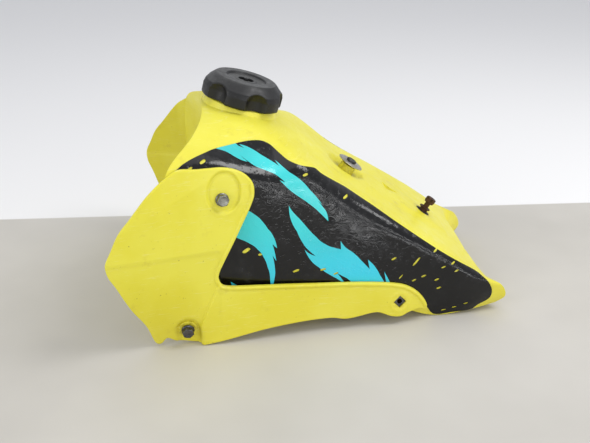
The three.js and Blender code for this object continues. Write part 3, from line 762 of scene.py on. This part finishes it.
def black_with_dust_and_sheen(name, dust_and_sheen):
    """Black moulded plastic, greyed on the faces that look up: partly by dust, partly a painted highlight
    of the light from above.
    """
    n = Nodes(name)
    up = n.add("ShaderNodeNewGeometry").outputs["Normal"]
    # dust and painted highlight: faces that look up turn grey, as a lit top does
    dust = n.math("MULTIPLY", n.ramp(n.coordinate(2, up), 0.72, 0.97), dust_and_sheen)
    patches = n.ramp(n.noise(70, 7, 0.7), 0.3, 0.72)
    amount = n.math("MULTIPLY", dust, n.math("ADD", n.math("MULTIPLY", patches, 0.6), 0.4))
    color = n.mix(amount, linear(18, 18, 19), linear(112, 112, 110))
    speck = n.ramp(n.noise(600, 3, 0.6), 0.66, 0.74)
    color = n.cover(color, speck, 0.4, linear(150, 146, 138))
    grain = n.bump(n.noise(1300, 3, 0.6), 0.25, 0.0002)
    rough = n.ramp(n.noise(150, 5, 0.6), 0.3, 0.7, 0.36, 0.56)
    return n.surface(color, rough, n.bump(n.noise(60, 3), 0.15, 0.0006, grain))


def metal(name, color, dark, roughness, rust=0.0):
    """Plated or bare metal with stains; rust is how much of it is brown scale."""
    n = Nodes(name)
    base = n.mix(n.ramp(n.noise(160, 6, 0.7), 0.35, 0.7), color, dark)
    scale = n.ramp(n.noise(240, 8, 0.75), 0.62 - 0.3 * rust, 0.72 - 0.18 * rust)
    covered = n.math("MULTIPLY", scale, min(1.0, rust * 1.4))
    n.set("Metallic", n.math("SUBTRACT", 1.0, covered))
    rough = n.ramp(n.noise(300, 5, 0.7), 0.3, 0.75, roughness - 0.1, roughness + 0.12)
    rough = n.math("MAXIMUM", rough, n.math("MULTIPLY", covered, 0.85))
    grain = n.bump(n.noise(900, 4, 0.6), 0.25 + 0.4 * rust, 0.0002 + 0.0003 * rust)
    return n.surface(n.mix(covered, base, linear(84, 52, 30)), rough, grain)


def soft_black(name):
    n = Nodes(name)
    color = n.mix(n.ramp(n.noise(120, 6, 0.7), 0.4, 0.7), linear(26, 25, 25), linear(58, 56, 54))
    return n.surface(color, 0.78, n.bump(n.noise(1200, 3, 0.6), 0.3, 0.0002))


def woven_nylon(name):
    n = Nodes(name)
    wave = n.add("ShaderNodeTexChecker")
    n.feed(wave, "Vector", n.place)
    wave.inputs["Scale"].default_value = 1600
    color = n.mix(wave.outputs["Fac"], linear(222, 216, 198), linear(176, 168, 148))
    return n.surface(color, 0.6, n.bump(wave.outputs["Fac"], 0.4, 0.0002))


def metres(place, side=1):
    return tuple(c * MM for c in (place[0], place[1] * side, place[2]))


DIRT_ON_TANK = [
    (metres(SEAT_HOOK), 0.022, 0.4), (metres(REAR_MOUNT), 0.016, 0.75), (metres(DIMPLE), 0.012, 0.25),
    (metres((-92, 0, 212)), 0.046, 0.14),
]
YELLOW_TANK = yellow_plastic("yellow_tank", DIRT_ON_TANK)
BLACK_FILM = decal_film("black_film", linear(11, 11, 12))
TEAL_FILM = decal_film("teal_film", linear(68, 215, 216), linear(62, 206, 230))
# its upward faces turn grey, part dust and part painted highlight
BLACK_PLASTIC = black_with_dust_and_sheen("black_plastic", 0.5)
ZINC = metal("zinc", linear(150, 150, 142), linear(96, 95, 90), 0.42, 0.12)
BRIGHT_ZINC = metal("bright_zinc", linear(196, 192, 184), linear(150, 146, 138), 0.34, 0.08)
DARK_ZINC = metal("dark_zinc", linear(104, 104, 108), linear(64, 64, 66), 0.45, 0.3)
RUST = metal("rust", linear(74, 58, 46), linear(40, 32, 27), 0.55, 0.75)
BRASS = metal("brass", linear(196, 158, 84), linear(150, 116, 58), 0.38)
ALLOY = metal("alloy", linear(178, 178, 176), linear(132, 132, 130), 0.5)
RUBBER = soft_black("rubber")
NYLON = woven_nylon("nylon")

# ---- Building the tank
make_tank(YELLOW_TANK)

# ---- Plates that follow a surface


def flat_mesh(loops, grid_points):
    """A triangulation of points in the plane that keeps every edge of the loops."""
    points, edges = [], []
    for loop in loops:
        start = len(points)
        points.extend(map(tuple, loop))
        edges.extend((start + i, start + (i + 1) % len(loop)) for i in range(len(loop)))
    points.extend(map(tuple, grid_points))
    made = delaunay_2d_cdt([Vector(p) for p in points], edges, [], 0, 1e-5)
    return np.array([tuple(p) for p in made[0]]), np.array([tuple(f) for f in made[2]])


def staggered(low, high, spacing):
    """A staggered grid of points over a rectangle."""
    tall = spacing * 0.87
    rows = np.arange(low[1], high[1], tall)
    result = []
    for k, z in enumerate(rows):
        xs = np.arange(low[0] + (k % 2) * spacing / 2, high[0], spacing)
        result.append(np.column_stack([xs, np.full(len(xs), z)]))
    return np.vstack(result)


def closed_plate(flat, triangles, outer, inner):
    """A closed plate on the right side from a flat triangulation and its outer and inner points."""
    used, compact = np.unique(triangles, return_inverse=True)
    triangles = compact.reshape(-1, 3)
    count = len(used)
    faces = [(a, c, b) for a, b, c in triangles]
    faces += [(a + count, b + count, c + count) for a, b, c in triangles]
    directed = {(a, b) for t in triangles for a, b in ((t[0], t[1]), (t[1], t[2]), (t[2], t[0]))}
    for a, b in directed:
        if (b, a) not in directed:
            faces.append((a, b, b + count, a + count))
    return np.vstack([outer[used], inner[used]]), faces


def add_both(name, shape, material, replaces, smooth_angle=40):
    """The right-hand piece as given and its mirror image on the left."""
    for side, own in (("right", shape), ("left", mirrored_y(*shape))):
        obj = as_object(f"{name}_{side}", *own, smooth_angle)
        piece(obj, material if not callable(material) else material(side),
              replaces=[f"{node}_{side}" for node in replaces])


# ---- Shrouds
SHROUD_FRONT = [
    # front edge, from the top down to the pointed tip, the notch and the bolt tab
    (-143, 176), (-155, 167), (-174, 144.4), (-185, 131), (-192.5, 116), (-198.4, 103), (-197.6, 91),
    (-192.2, 78), (-182, 51), (-170.3, 27), (-164.4, 4.5), (-161.5, 1.8), (-158.3, 2.6), (-152.6, 8.5),
    (-144, 4), (-120.4, 0.5), (-106.6, 2),
    # underside of the rear strip, with its bulge round the nut
    (-50, 11.8), (9, 14.2), (26.5, 11.2), (57.5, 15.9), (65, 13.7), (73, 10.4), (83, 9.4), (91.6, 12.6),
    (102.5, 14.7), (111, 13.6),
]
SHROUD_INNER = [
    # upper edge of the strip, the inner corner and the front panel's rear edge
    (110.6, 19.5), (101.5, 32.5), (89, 41.5), (73, 46.2), (-22, 54.4), (-89, 61.8), (-96.5, 64.5),
    (-99.8, 70), (-99, 77), (-80, 116), (-66.5, 143.5), (-64, 151.5), (-64.5, 160.5), (-69.5, 168.5),
    (-78.5, 175), (-92, 179.3), (-115, 180.3), (-131.5, 182),
]
BEAD_END = 13  # the bead along the inner edge stops at this point of SHROUD_INNER
EDGE_ROUND = 1.3
PANEL_CREASE = [(-98.5, 67), (-110, 44), (-119.5, 22), (-119.5, -5)]
RIDGE_CREASE = [(-203, 102.4), (-150, 102), (-98, 101.4)]
FACET_CREASE = [(-100, 171), (-128, 158), (-158, 143), (-190, 128)]
DISH_CENTRE = (UPPER_BOLT[0] + 1.9, UPPER_BOLT[1] + 6.5)
DISH_SIZE = (15.8, 20.1)


def across(line, flat):
    """Signed distance from a crease: positive on its left side, walking along it."""
    line = np.asarray(line, float)
    best, sign = np.full(len(flat), 1e9), np.zeros(len(flat))
    for a, b in zip(line, line[1:]):
        along = b - a
        share = np.clip(((flat - a) @ along) / (along @ along), 0, 1)
        away = flat - a - share[:, None] * along
        reach = np.linalg.norm(away, axis=1)
        side = np.sign(along[0] * away[:, 1] - along[1] * away[:, 0])
        closer = reach < best
        best, sign = np.where(closer, reach, best), np.where(closer, side, sign)
    return best * sign


def ridge_at(value, place, width):
    """A soft ridge of height 1 where a value passes a place."""
    return np.exp(-((value - place) / width) ** 2)


def shroud_relief(flat):
    """How far the shroud's face stands out from its plain surface."""
    x, z = flat[:, 0], flat[:, 1]
    bead_line = spline(SHROUD_INNER[:BEAD_END], np.linspace(0, 1, 90))
    bead = distance_to(bead_line, flat)
    rise = 1.0 * (1 - step(2.6, 3.6, bead)) - 0.45 * ridge_at(bead, 4.3, 0.8)
    dish = np.hypot((x - DISH_CENTRE[0]) / DISH_SIZE[0], (z - DISH_CENTRE[1]) / DISH_SIZE[1])
    rise -= RECESS_DEPTH * (1 - step(0.9, 1.0, dish)) + 0.8 * ridge_at(dish, 0.87, 0.07)
    rise += 0.35 * ridge_at(dish, 1.05, 0.05)
    arch = np.hypot(x - LOWER_BOLT[0], np.maximum(z - LOWER_BOLT[1], 0))
    trench = (1 - step(10.6, 11.8, arch)) * step(-14, -6, x - LOWER_BOLT[0])
    rise -= 1.6 * trench + 0.5 * ridge_at(arch, 10.2, 0.9) * step(-14, -6, x - LOWER_BOLT[0])
    below = np.maximum(RIDGE_Z - z, 0)
    panel = across(PANEL_CREASE, flat)
    front = step(-1.2, 1.2, -panel) * step(0, 4, below)
    rise -= (0.5 + 2.4 * (1 - np.exp(-below / 24))) * front * (x < -90) * step(-94, -98, x)
    ridge = across(RIDGE_CREASE, flat)
    fold = 0.3 * step(0.2, 1.2, -ridge) + 0.3 * ridge_at(ridge, 0, 0.6)
    rise -= fold * (x < -99) * step(0, 12, 100 - below)
    turned = np.maximum(-across(FACET_CREASE, flat), 0)
    rise -= 0.13 * (np.hypot(turned, 1.5) - 1.5) * step(-98, -112, x)
    nut = np.hypot((x - REAR_NUT[0]) / 9.5, (z - REAR_NUT[1]) / 9.5)
    rise += 0.5 * ridge_at(nut, 1.0, 0.2)
    return rise


def beside(line, distances, count=60):
    """Copies of a line at several distances to its side, for a mesh that follows a crease."""
    dense = spline(line, np.linspace(0, 1, count))
    along = np.gradient(dense, axis=0)
    along /= np.linalg.norm(along, axis=1)[:, None]
    square = np.column_stack([-along[:, 1], along[:, 0]])
    return [dense + square * d for d in distances]


def make_shroud():
    outline = anticlockwise(closed_spline(SHROUD_FRONT + SHROUD_INNER, 7))
    rims = [inset(outline, d) for d in (0, 0.2, 0.55, 1.0, 1.6)]
    holes = [circle(UPPER_BOLT, 5, 36), circle(LOWER_BOLT, 5, 36), circle(REAR_NUT, 6.8, 4)]
    loops = [circle(place, r, 36) for place in (UPPER_BOLT, LOWER_BOLT) for r in (5.5, 6.6)]
    loops += [circle(DISH_CENTRE, DISH_SIZE[0] * k, 90, DISH_SIZE[1] * k)
              for k in (0.74, 0.8, 0.84, 0.88, 0.92, 0.96, 1.0, 1.05, 1.1)]
    loops += [circle(LOWER_BOLT, r, 60) for r in (8.4, 9.4, 10.2, 10.8, 11.4, 12.0)]
    grid = staggered(outline.min(0), outline.max(0), 1.8)
    lines = beside(SHROUD_INNER[:BEAD_END], (2.4, 2.9, 3.4, 3.9, 4.5, 5.3), 260)
    for crease in (PANEL_CREASE, RIDGE_CREASE):
        lines += beside(crease, (-1.6, -1.0, -0.5, 0, 0.5, 1.0, 1.6), 90)
    lines += beside(FACET_CREASE, (-1.5, 0, 1.5), 60)
    extra = np.vstack(lines + loops)
    extra = extra[inside(rims[-1], extra) & (distance_to(rims[-1], extra, True) > 0.25)]
    keep = inside(rims[-1], grid) & (distance_to(rims[-1], grid, True) > 0.9)
    cloud = KDTree(len(extra))
    for i, (px, pz) in enumerate(extra):
        cloud.insert((px, pz, 0), i)
    cloud.balance()
    clear = np.array([cloud.find((px, pz, 0))[2] > 0.9 for px, pz in grid])
    flat, triangles = flat_mesh(rims + holes, np.vstack([extra, grid[keep & clear]]))
    centres = flat[triangles].mean(axis=1)
    solid = inside(outline, centres)
    for hole in holes:
        solid &= ~inside(hole, centres)
    edge = distance_to(outline, flat, True)
    for hole in holes:
        edge = np.minimum(edge, distance_to(hole, flat, True) + 0.7)
    reach = np.clip(EDGE_ROUND - edge, 0, EDGE_ROUND)
    drop = EDGE_ROUND - np.sqrt(EDGE_ROUND ** 2 - reach ** 2)
    face = shroud_face(flat[:, 0], flat[:, 1])
    relief = shroud_relief(flat)
    outer = np.column_stack([flat[:, 0], face + relief - drop, flat[:, 1]])
    back = face + np.minimum(relief, 0) - SHROUD_THICKNESS * 0.9
    inner = np.column_stack([flat[:, 0], back, flat[:, 1]])
    return closed_plate(flat, triangles[solid], outer, inner)


def shroud_material(side):
    sign = 1 if side == "right" else -1
    places = []
    for (x, z), *dirt in ((UPPER_BOLT, 0.010, 0.3), (LOWER_BOLT, 0.015, 0.6), (REAR_NUT, 0.009, 0.4)):
        places.append((metres((x, float(shroud_face(x, z)), z), sign), *dirt))
    return yellow_plastic(f"yellow_shroud_{side}", places)


add_both("shroud_panel", make_shroud(), shroud_material, ["shroud"], 50)
tab = placed(tube(5, 9, -5, -1.5), bolt_frame(LOWER_BOLT))
add_both("shroud_tab_boss", tab, shroud_material, [])

# ---- Side decals: a glossy black film with teal flames, round the deck and flank of the tank
DECAL_OUTLINE = [
    # upper edge, over the shoulder and down along the deck
    (-138, 176), (-129.5, 183), (-118.5, 187), (-104, 189), (-84, 189.2), (-68, 188.8), (-56, 186.6),
    (-48.5, 183.2), (-40, 177.2), (-32, 172.8), (-24.5, 170.2), (-6.6, 163.2), (1.7, 156.5), (31.4, 134.6),
    (66, 112), (122.6, 74.2), (166, 45.7), (176.6, 36.8),
    # rounded tail and the heel
    (181.5, 26), (180, 17.5), (168, 10), (163, 5), (141, 3.4), (121, 2.5),
    # along the shroud's edges, a little under them
    (111, 15), (100, 28.5), (87, 38.6), (71, 42.5), (-22, 49), (-92, 55.5), (-101, 60), (-104, 70),
    (-100, 80), (-84, 115), (-70, 144), (-68, 155), (-72, 162.5), (-80, 168.5), (-92, 172),
    (-116, 172), (-136, 173),
]
FLAMES = [
    # over the shoulder
    [(-98, 189), (-91, 190.5), (-84, 191), (-78, 187.4), (-72.5, 185), (-77, 188), (-71, 186), (-57, 178),
     (-46, 172), (-39.5, 168.5), (-43.5, 172.5), (-38, 169.3), (-30, 164), (-20, 157), (-11, 146.5),
     (-5, 139.5), (1, 131), (-3.5, 135.5), (2, 128), (6, 121), (7, 114), (-1, 123), (-9, 131),
     (-19, 139.5), (-29, 147.5),
     (-36, 154.5), (-40, 158.5), (-34.5, 156), (-39, 160), (-49, 166), (-60, 171), (-68, 176), (-77, 182),
     (-69.5, 176.5), (-76, 179), (-85, 184), (-93, 187.5)],
    # behind the shroud's inner corner
    [(-70, 135), (-64, 130), (-57, 122), (-52, 114), (-47, 106), (-43.5, 93), (-48, 98), (-46, 90),
     (-44.5, 80), (-48, 86), (-46, 73), (-46.5, 61), (-49, 50), (-50.5, 56), (-51, 66), (-53, 74),
     (-57, 86), (-62, 94),
     (-69, 101), (-78, 107), (-86, 112), (-84, 124)],
    # long one on the flank
    [(-31.5, 134), (-28, 128), (-22, 121), (-15, 112), (-5, 100), (5, 91), (13, 87), (20, 84.5), (19.5, 93),
     (25, 85.5), (31, 81), (40, 72), (49.5, 61.5), (47.5, 71.5), (54, 65), (60, 55), (67, 43), (50, 44),
     (34, 45.5), (26, 54), (18, 59), (12.5, 65.5), (19, 56.5), (26, 46.5), (15, 55), (5, 62), (-3, 69),
     (-10, 76), (-16.5, 88.5), (-12, 84), (-5.5, 80.5), (-12, 87), (-18, 95), (-24, 108), (-30, 121)],
    [(-89, 62.5), (-80, 55), (-88, 55)],
    [(64.5, 58), (73, 42), (67.5, 43)],
]
CUT_OUTS = [
    # x, z, half length, half height, rise in degrees: holes in the film that show yellow
    (-121, 180.6, 2.6, 1.1, 26), (-109.5, 184.2, 2.6, 1.2, 22), (-15, 160.6, 2.6, 1.2, 14),
    (25, 133.5, 2.6, 1.2, 22), (117, 76, 2.3, 1.0, 26), (136, 62, 2.3, 1.0, 26), (140, 54, 2.3, 1.0, 26),
    (126, 59, 2.4, 1.0, 26),
    (106, 50, 2.5, 1.1, 26), (120, 45, 2.5, 1.1, 26), (123, 35, 2.5, 1.1, 26), (96, 46, 2.3, 1.0, 26),
    (74, 71, 2.7, 1.1, 30), (97.5, 66.5, 5.6, 1.1, 52), (82, 51, 2.9, 0.8, 52), (131, 7, 2.5, 0.9, 14),
    (142, 10, 2.5, 0.9, 14), (154, 14, 2.3, 0.9, 18), (-25, 67, 3.3, 1.3, 20), (2, 65.5, 2.9, 1.1, 14),
    (15, 60, 2.5, 0.9, 20), (-73, 94.5, 3.9, 2.0, 34), (-60, 88.5, 1.7, 1.4, 20),
]
FILM_LIFT = 0.35
FILM_THICKNESS = 0.35


def skin_tree():
    """The right half of the tank's outer skin, ready for rays."""
    rows, columns = tank_skin.shape[:2]
    start = columns // 2
    part = tank_skin[:, start:]
    width = part.shape[1]
    faces = [(i * width + j, (i + 1) * width + j, (i + 1) * width + j + 1, i * width + j + 1)
             for i in range(rows - 1) for j in range(width - 1)]
    return BVHTree.FromPolygons(part.reshape(-1, 3).tolist(), faces)


def flow(pairs):
    """A closed line through pairs, softly curved but sharp at the tips and notches."""
    points = np.asarray(pairs, float)
    result = []
    for i, here in enumerate(points):
        after = points[(i + 1) % len(points)]
        result.append(here)
        before, beyond = points[i - 1], points[(i + 2) % len(points)]
        chord = after - here
        bend = np.zeros(2)
        for other, sign in ((here - before, 1), (beyond - after, -1)):
            turn = np.arccos(np.clip(other @ chord / np.linalg.norm(other) / np.linalg.norm(chord), -1, 1))
            if turn < 0.7:
                bend += sign * (other / np.linalg.norm(other) - chord / np.linalg.norm(chord)) * 0.125
        for share in (0.25, 0.5, 0.75):
            swell = 4 * share * (1 - share) * np.linalg.norm(chord)
            result.append(here + chord * share + bend * swell)
    return anticlockwise(result)


def dash(x, z, length, height, rise):
    """A small slanted lozenge with rounded ends."""
    points = circle((0, 0), length, 16, height)
    points = np.sign(points) * (length, height) * (np.abs(points) / (length, height)) ** 0.7
    turn = math.radians(rise)
    points[:, 0] -= points[:, 1] * 0.35
    spin = np.array([[math.cos(turn), math.sin(turn)], [-math.sin(turn), math.cos(turn)]])
    return points @ spin + (x, z)


def make_decal(trim=0.0):
    outline = inset(anticlockwise(closed_spline(DECAL_OUTLINE, 6)), trim)
    flames = [flow(pairs) for pairs in FLAMES]
    holes = [dash(*numbers) for numbers in CUT_OUTS]
    grid = staggered(outline.min(0), outline.max(0), 2.2)
    keep = inside(outline, grid) & (distance_to(outline, grid, True) > 0.9)
    for loop in flames + holes:
        keep &= distance_to(loop, grid, True) > 0.7
    flat, triangles = flat_mesh([outline] + flames + holes, grid[keep])
    tree = skin_tree()
    outer, inner, hit = [], [], []
    for x, z in flat:
        place, normal, _, _ = tree.ray_cast(Vector((x, 300, z)), Vector((0, -1, 0)), 400)
        hit.append(place is not None)
        place = place or Vector((x, 100, z))
        normal = normal or Vector((0, 1, 0))
        normal = normal if normal.y > 0 else -normal
        outer.append(tuple(place + normal * (FILM_LIFT + FILM_THICKNESS)))
        inner.append(tuple(place + normal * FILM_LIFT))
    hit = np.array(hit)
    centres = flat[triangles].mean(axis=1)
    solid = inside(outline, centres) & hit[triangles].all(axis=1)
    teal = np.zeros(len(centres), bool)
    for loop in flames:
        teal |= inside(loop, centres)
    for loop in holes:
        solid &= ~inside(loop, centres)
    points, faces = closed_plate(flat, triangles[solid], np.array(outer), np.array(inner))
    return (points, faces), teal[solid]


for side in ("right", "left"):
    shape, teal = make_decal(2.2 if side == "right" else 0.0)
    if side == "left":
        shape = mirrored_y(*shape)
    film = as_object(f"decal_film_{side}", *shape, 60)
    piece(film, BLACK_FILM, replaces=[f"decal_{side}"])
    film.data.materials.append(TEAL_FILM)
    for index in np.flatnonzero(np.concatenate([teal, teal])):
        film.data.polygons[int(index)].material_index = 1

# ---- Screw cap
NOTCH_CENTRE = 47.2
NOTCH_PROFILE = [(-5, 13.3), (10, 13.3), (14.5, 12), (17.4, 10), (19.4, 7.4), (20.8, 4.2), (21.4, 0.01)]
NOTCHES = 6
NOTCH_TURN = math.radians(-70)
CAP_CEILING = 14.7
CAP_TOP = 24
VENT_BORE = 7.7
THREAD_WALL = NECK_RADIUS + 2.7


def notch_reach(height, angles):
    """Radius at which the finger notches end the cap's wall at a height."""
    radius = np.interp(height, [p[0] for p in NOTCH_PROFILE], [p[1] for p in NOTCH_PROFILE], right=0)
    nearest = (angles - NOTCH_TURN + math.pi / NOTCHES) % (2 * math.pi / NOTCHES) - math.pi / NOTCHES
    inner = radius ** 2 - (NOTCH_CENTRE * np.sin(nearest)) ** 2
    reach = NOTCH_CENTRE * np.cos(nearest) - np.sqrt(np.maximum(inner, 0))
    return np.where(inner > 0, reach, 99)


def cap_radius_at(radius, height, angles):
    """The profile's radius, softly cut back by the notches."""
    if radius < 20.5:
        return np.full(len(angles), float(radius))
    reach = notch_reach(height, angles)
    return -np.log(np.exp(-radius / 0.45) + np.exp(-np.minimum(reach, 90) / 0.45)) * 0.45


def make_cap():
    outline = rounded([(38, 0.4), (40.8, 0.05), (41.9, 1.6), (41.9, 11), (40.4, 15.5), (33, 22.4),
                       (31, CAP_TOP), (21, CAP_TOP), (19.6, 21.6), (12, 21.4), (10.4, 22.1),
                       (VENT_BORE, 22.1), (VENT_BORE, CAP_CEILING)], 0.9)
    dense = []
    for (r0, h0), (r1, h1) in zip(outline, outline[1:]):
        count = max(1, int(math.hypot(r1 - r0, h1 - h0) / 0.7))
        dense += [(r0 + (r1 - r0) * i / count, h0 + (h1 - h0) * i / count) for i in range(count)]
    inner = [(VENT_BORE, CAP_CEILING), (THREAD_WALL, CAP_CEILING), (THREAD_WALL, 0.4), (38, 0.4)]
    cap = as_object("cap_shell", *placed(revolve(dense + inner, 180, cap_radius_at), CAP_FRAME), 50)
    inside_threads = threads(THREAD_WALL, -2, THREAD_BASE + THREAD_PITCH / 2, 0.8)
    combine(cap, [as_object("thread", *placed(shape, CAP_FRAME)) for shape in inside_threads], "UNION")
    finish_edges(cap, 50)
    return piece(cap, BLACK_PLASTIC, "cap", ["cap"])


make_cap()
plug_top = CAP_TOP - 4.4
plug = rounded([(1.1, 12.9), (9.5, 12.9), (9.5, 14.4), (7.2, 14.4), (7.2, plug_top), (4.6, plug_top),
                (2.9, 18.6), (2.4, 19.6), (2.4, 23.5), (1.1, 23.5), (1.1, 12.9)], 0.3)
vent = as_object("cap_vent_nipple", *placed(revolve(plug + [plug[0]], 48), CAP_FRAME), 35)
piece(vent, BLACK_PLASTIC, "cap", ["cap_vent_plug"])

# ---- Fasteners


def flange_bolt(length):
    """A flanged hexagon bolt whose flange rests on z = 0."""
    flange = [(0, 0), (6.3, 0), (6.3, 0.7), (5.2, 1.5), (0, 1.6)]
    shank = [(0, -length), (BOLT_RADIUS - 0.5, -length), (BOLT_RADIUS, 1 - length),
             (BOLT_RADIUS, 0.2), (0, 0.2)]
    return merge(revolve(rounded(shank, 0.3), 32), revolve(rounded(flange, 0.4), 48), hexagon(1.3, 6))


def spinning(shape, degrees):
    return placed(shape, np.array(Matrix.Rotation(math.radians(degrees), 4, "Z")))


def turned(points, segments=48, radius_at=None):
    """A turned ring; the profile closes on itself."""
    return revolve(points + points[:1], segments, radius_at)


lower_nut = merge(
    turned([(BOLT_CLEARANCE, -7.3), (BOLT_CLEARANCE, -8.6), (5.9, -8.6), (6.3, -8.3), (6.3, -7.6),
            (5.9, -7.3)]),
    turned([(BOLT_CLEARANCE, -8.3), (BOLT_CLEARANCE, -12.2), (3.7, -12.6), (5.0, -12.6), (5.77, -12.1),
            (5.77, -8.4)], 72, hexagon_radius_at),
)
upper_collar = tube(BOLT_CLEARANCE, COLLAR_RADIUS, UPPER_TANK_FACE + GAP, 0, 40)
lower_collar = tube(BOLT_CLEARANCE, COLLAR_RADIUS, -7, 0, 40)
for name, shape, place, material, node in (
    ("upper_flange_bolt", spinning(flange_bolt(12), 12), UPPER_BOLT, ZINC, "upper_bolt"),
    ("upper_bolt_collar", upper_collar, UPPER_BOLT, ZINC, "upper_collar"),
    ("lower_flange_bolt", spinning(flange_bolt(14), 40), LOWER_BOLT, DARK_ZINC, "lower_bolt"),
    ("lower_bolt_collar", lower_collar, LOWER_BOLT, DARK_ZINC, "lower_collar"),
    ("lower_flange_nut", lower_nut, LOWER_BOLT, DARK_ZINC, "lower_nut"),
):
    add_both(name, placed(shape, bolt_frame(place)), material, [node])

# seat hook: spacer, large washer with a pressed step, and its bolt
hook_washer = [(14.2, 6.1), (14.5, 6.4), (14.5, 7.0), (14.0, 7.4), (9.6, 7.4), (8.9, 7.7), (3.5, 7.7),
               (BOLT_CLEARANCE, 7.5), (BOLT_CLEARANCE, 6.1)]
hook_bolt = merge(cylinder(BOLT_RADIUS, -14, 9.1, 32), spinning(hexagon(8.0, 10.3), 20))
# rear mount: rubber grommet, steel collar, washer and a bolt that stands part way out
grommet = [(6.8, -34), (7.2, -33.6), (7.2, -1.1), (8.1, -1.1), (8.5, -0.7), (8.5, 0.5), (7.9, 1), (5.3, 1),
           (5, 0.7), (5, -34)]
mount_bolt = merge(cylinder(BOLT_RADIUS, -30, 13, 32), cylinder(5.2, 12, 13.2, 48, 0.3),
                   spinning(hexagon(13, 18.5), 15))
for name, shape, place, material, slot, node, angle in (
    ("hook_spacer", tube(BOLT_CLEARANCE, 7.5, HOOK_TOP + GAP, 5.8, 56), SEAT_HOOK, RUST, "rusty_steel",
     "seat_hook_spacer", 40),
    ("hook_washer", turned(hook_washer, 72), SEAT_HOOK, BRIGHT_ZINC, "zinc_steel",
     "seat_hook_washer", 40),
    ("hook_bolt", hook_bolt, SEAT_HOOK, DARK_ZINC, "zinc_steel", "seat_hook_bolt", 30),
    ("mount_grommet", turned(grommet, 64), REAR_MOUNT, RUBBER, "rubber", "rear_grommet", 40),
    ("mount_collar", tube(BOLT_CLEARANCE, COLLAR_RADIUS, -34, 4.3), REAR_MOUNT, RUST, "rusty_steel",
     "rear_collar", 40),
    ("mount_washer", tube(BOLT_CLEARANCE, 6.4, 4.6, 6.1, 56, 0.4), REAR_MOUNT, RUST, "rusty_steel",
     "rear_washer", 40),
    ("mount_bolt", mount_bolt, REAR_MOUNT, RUST, "rusty_steel", "rear_bolt", 30),
):
    fitted = as_object(name, *placed(shape, deck_frame(place)), angle)
    piece(fitted, material, replaces=[node])

# ---- The parts that keep their own drawn shape
KEPT = {
    ALLOY: ["tap_body"],
    BLACK_PLASTIC: ["tap_lever", "cap_baffle"],
    RUBBER: ["tap_seal", "cap_gasket", "tunnel_pad_right", "tunnel_pad_left"],
    NYLON: ["tap_strainer"],
    ZINC: ["tap_screw_front", "tap_screw_rear"],
    DARK_ZINC: ["rear_square_nut_right", "rear_square_nut_left"],
    BRASS: ["upper_insert_right", "upper_insert_left", "rear_insert_right", "rear_insert_left",
            "seat_hook_insert", "tap_insert_front", "tap_insert_rear"],
}
for material, names in KEPT.items():
    for name in names:
        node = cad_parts[name]
        node.data.materials.clear()
        node.data.materials.append(material)
        weld = node.modifiers.new("weld", "WELD")
        weld.merge_threshold = 1e-5
        bevel = node.modifiers.new("bevel", "BEVEL")
        bevel.width = 0.0003
        bevel.segments = 2
        bevel.limit_method = "ANGLE"
        bevel.angle_limit = math.radians(32)
        bevel.harden_normals = True

# ---- Floor and light
FLOOR_EDGE = 0.178


def plain_floor():
    n = Nodes("floor")
    base = n.mix(n.ramp(n.noise(3, 4), 0.3, 0.7), linear(192, 188, 180), linear(205, 201, 193))
    far = n.ramp(n.coordinate(1), FLOOR_EDGE, FLOOR_EDGE + 0.004)
    color = n.mix(far, base, linear(243, 242, 241))
    return n.surface(color, 0.62, n.bump(n.noise(260, 5, 0.6), 0.1, 0.0003))


def floor():
    corners = [(-4000, -4000, 0), (4000, -4000, 0), (4000, 4000, 0), (-4000, 4000, 0)]
    obj = as_object("floor", corners, [(0, 1, 2, 3)])
    obj.data.materials.append(plain_floor())


def area_light(name, place, target, size, power):
    data = bpy.data.lights.new(name, "AREA")
    data.shape = "RECTANGLE"
    data.size, data.size_y = size
    data.energy = power
    light = bpy.data.objects.new(name, data)
    scene.collection.objects.link(light)
    light.location = place
    light.rotation_euler = (Vector(target) - Vector(place)).to_track_quat("-Z", "Y").to_euler()


floor()
world = bpy.data.worlds.new("studio")
scene.world = world
world.use_nodes = True
background = world.node_tree.nodes["Background"].inputs
background["Color"].default_value = (0.93, 0.95, 1.0, 1)
background["Strength"].default_value = 0.66
area_light("key", (0.95, -0.25, 1.35), (0, 0, 0.1), (0.6, 0.6), 9)
area_light("ceiling", (0.1, 0.1, 1.7), (0, 0, 0.1), (1.6, 1.2), 5)
area_light("left_fill", (-1.5, -0.9, 0.7), (-0.05, 0, 0.1), (0.8, 0.8), 7)
area_light("low_tube", (1.0, -1.8, 0.2), (0, 0, 0.15), (2.2, 0.03), 4.5)
area_light("high_tube", (0.8, -1.8, 0.62), (0, 0, 0.15), (2.4, 0.03), 5)
scene.view_settings.view_transform = "Standard"
scene.view_settings.look = "None"
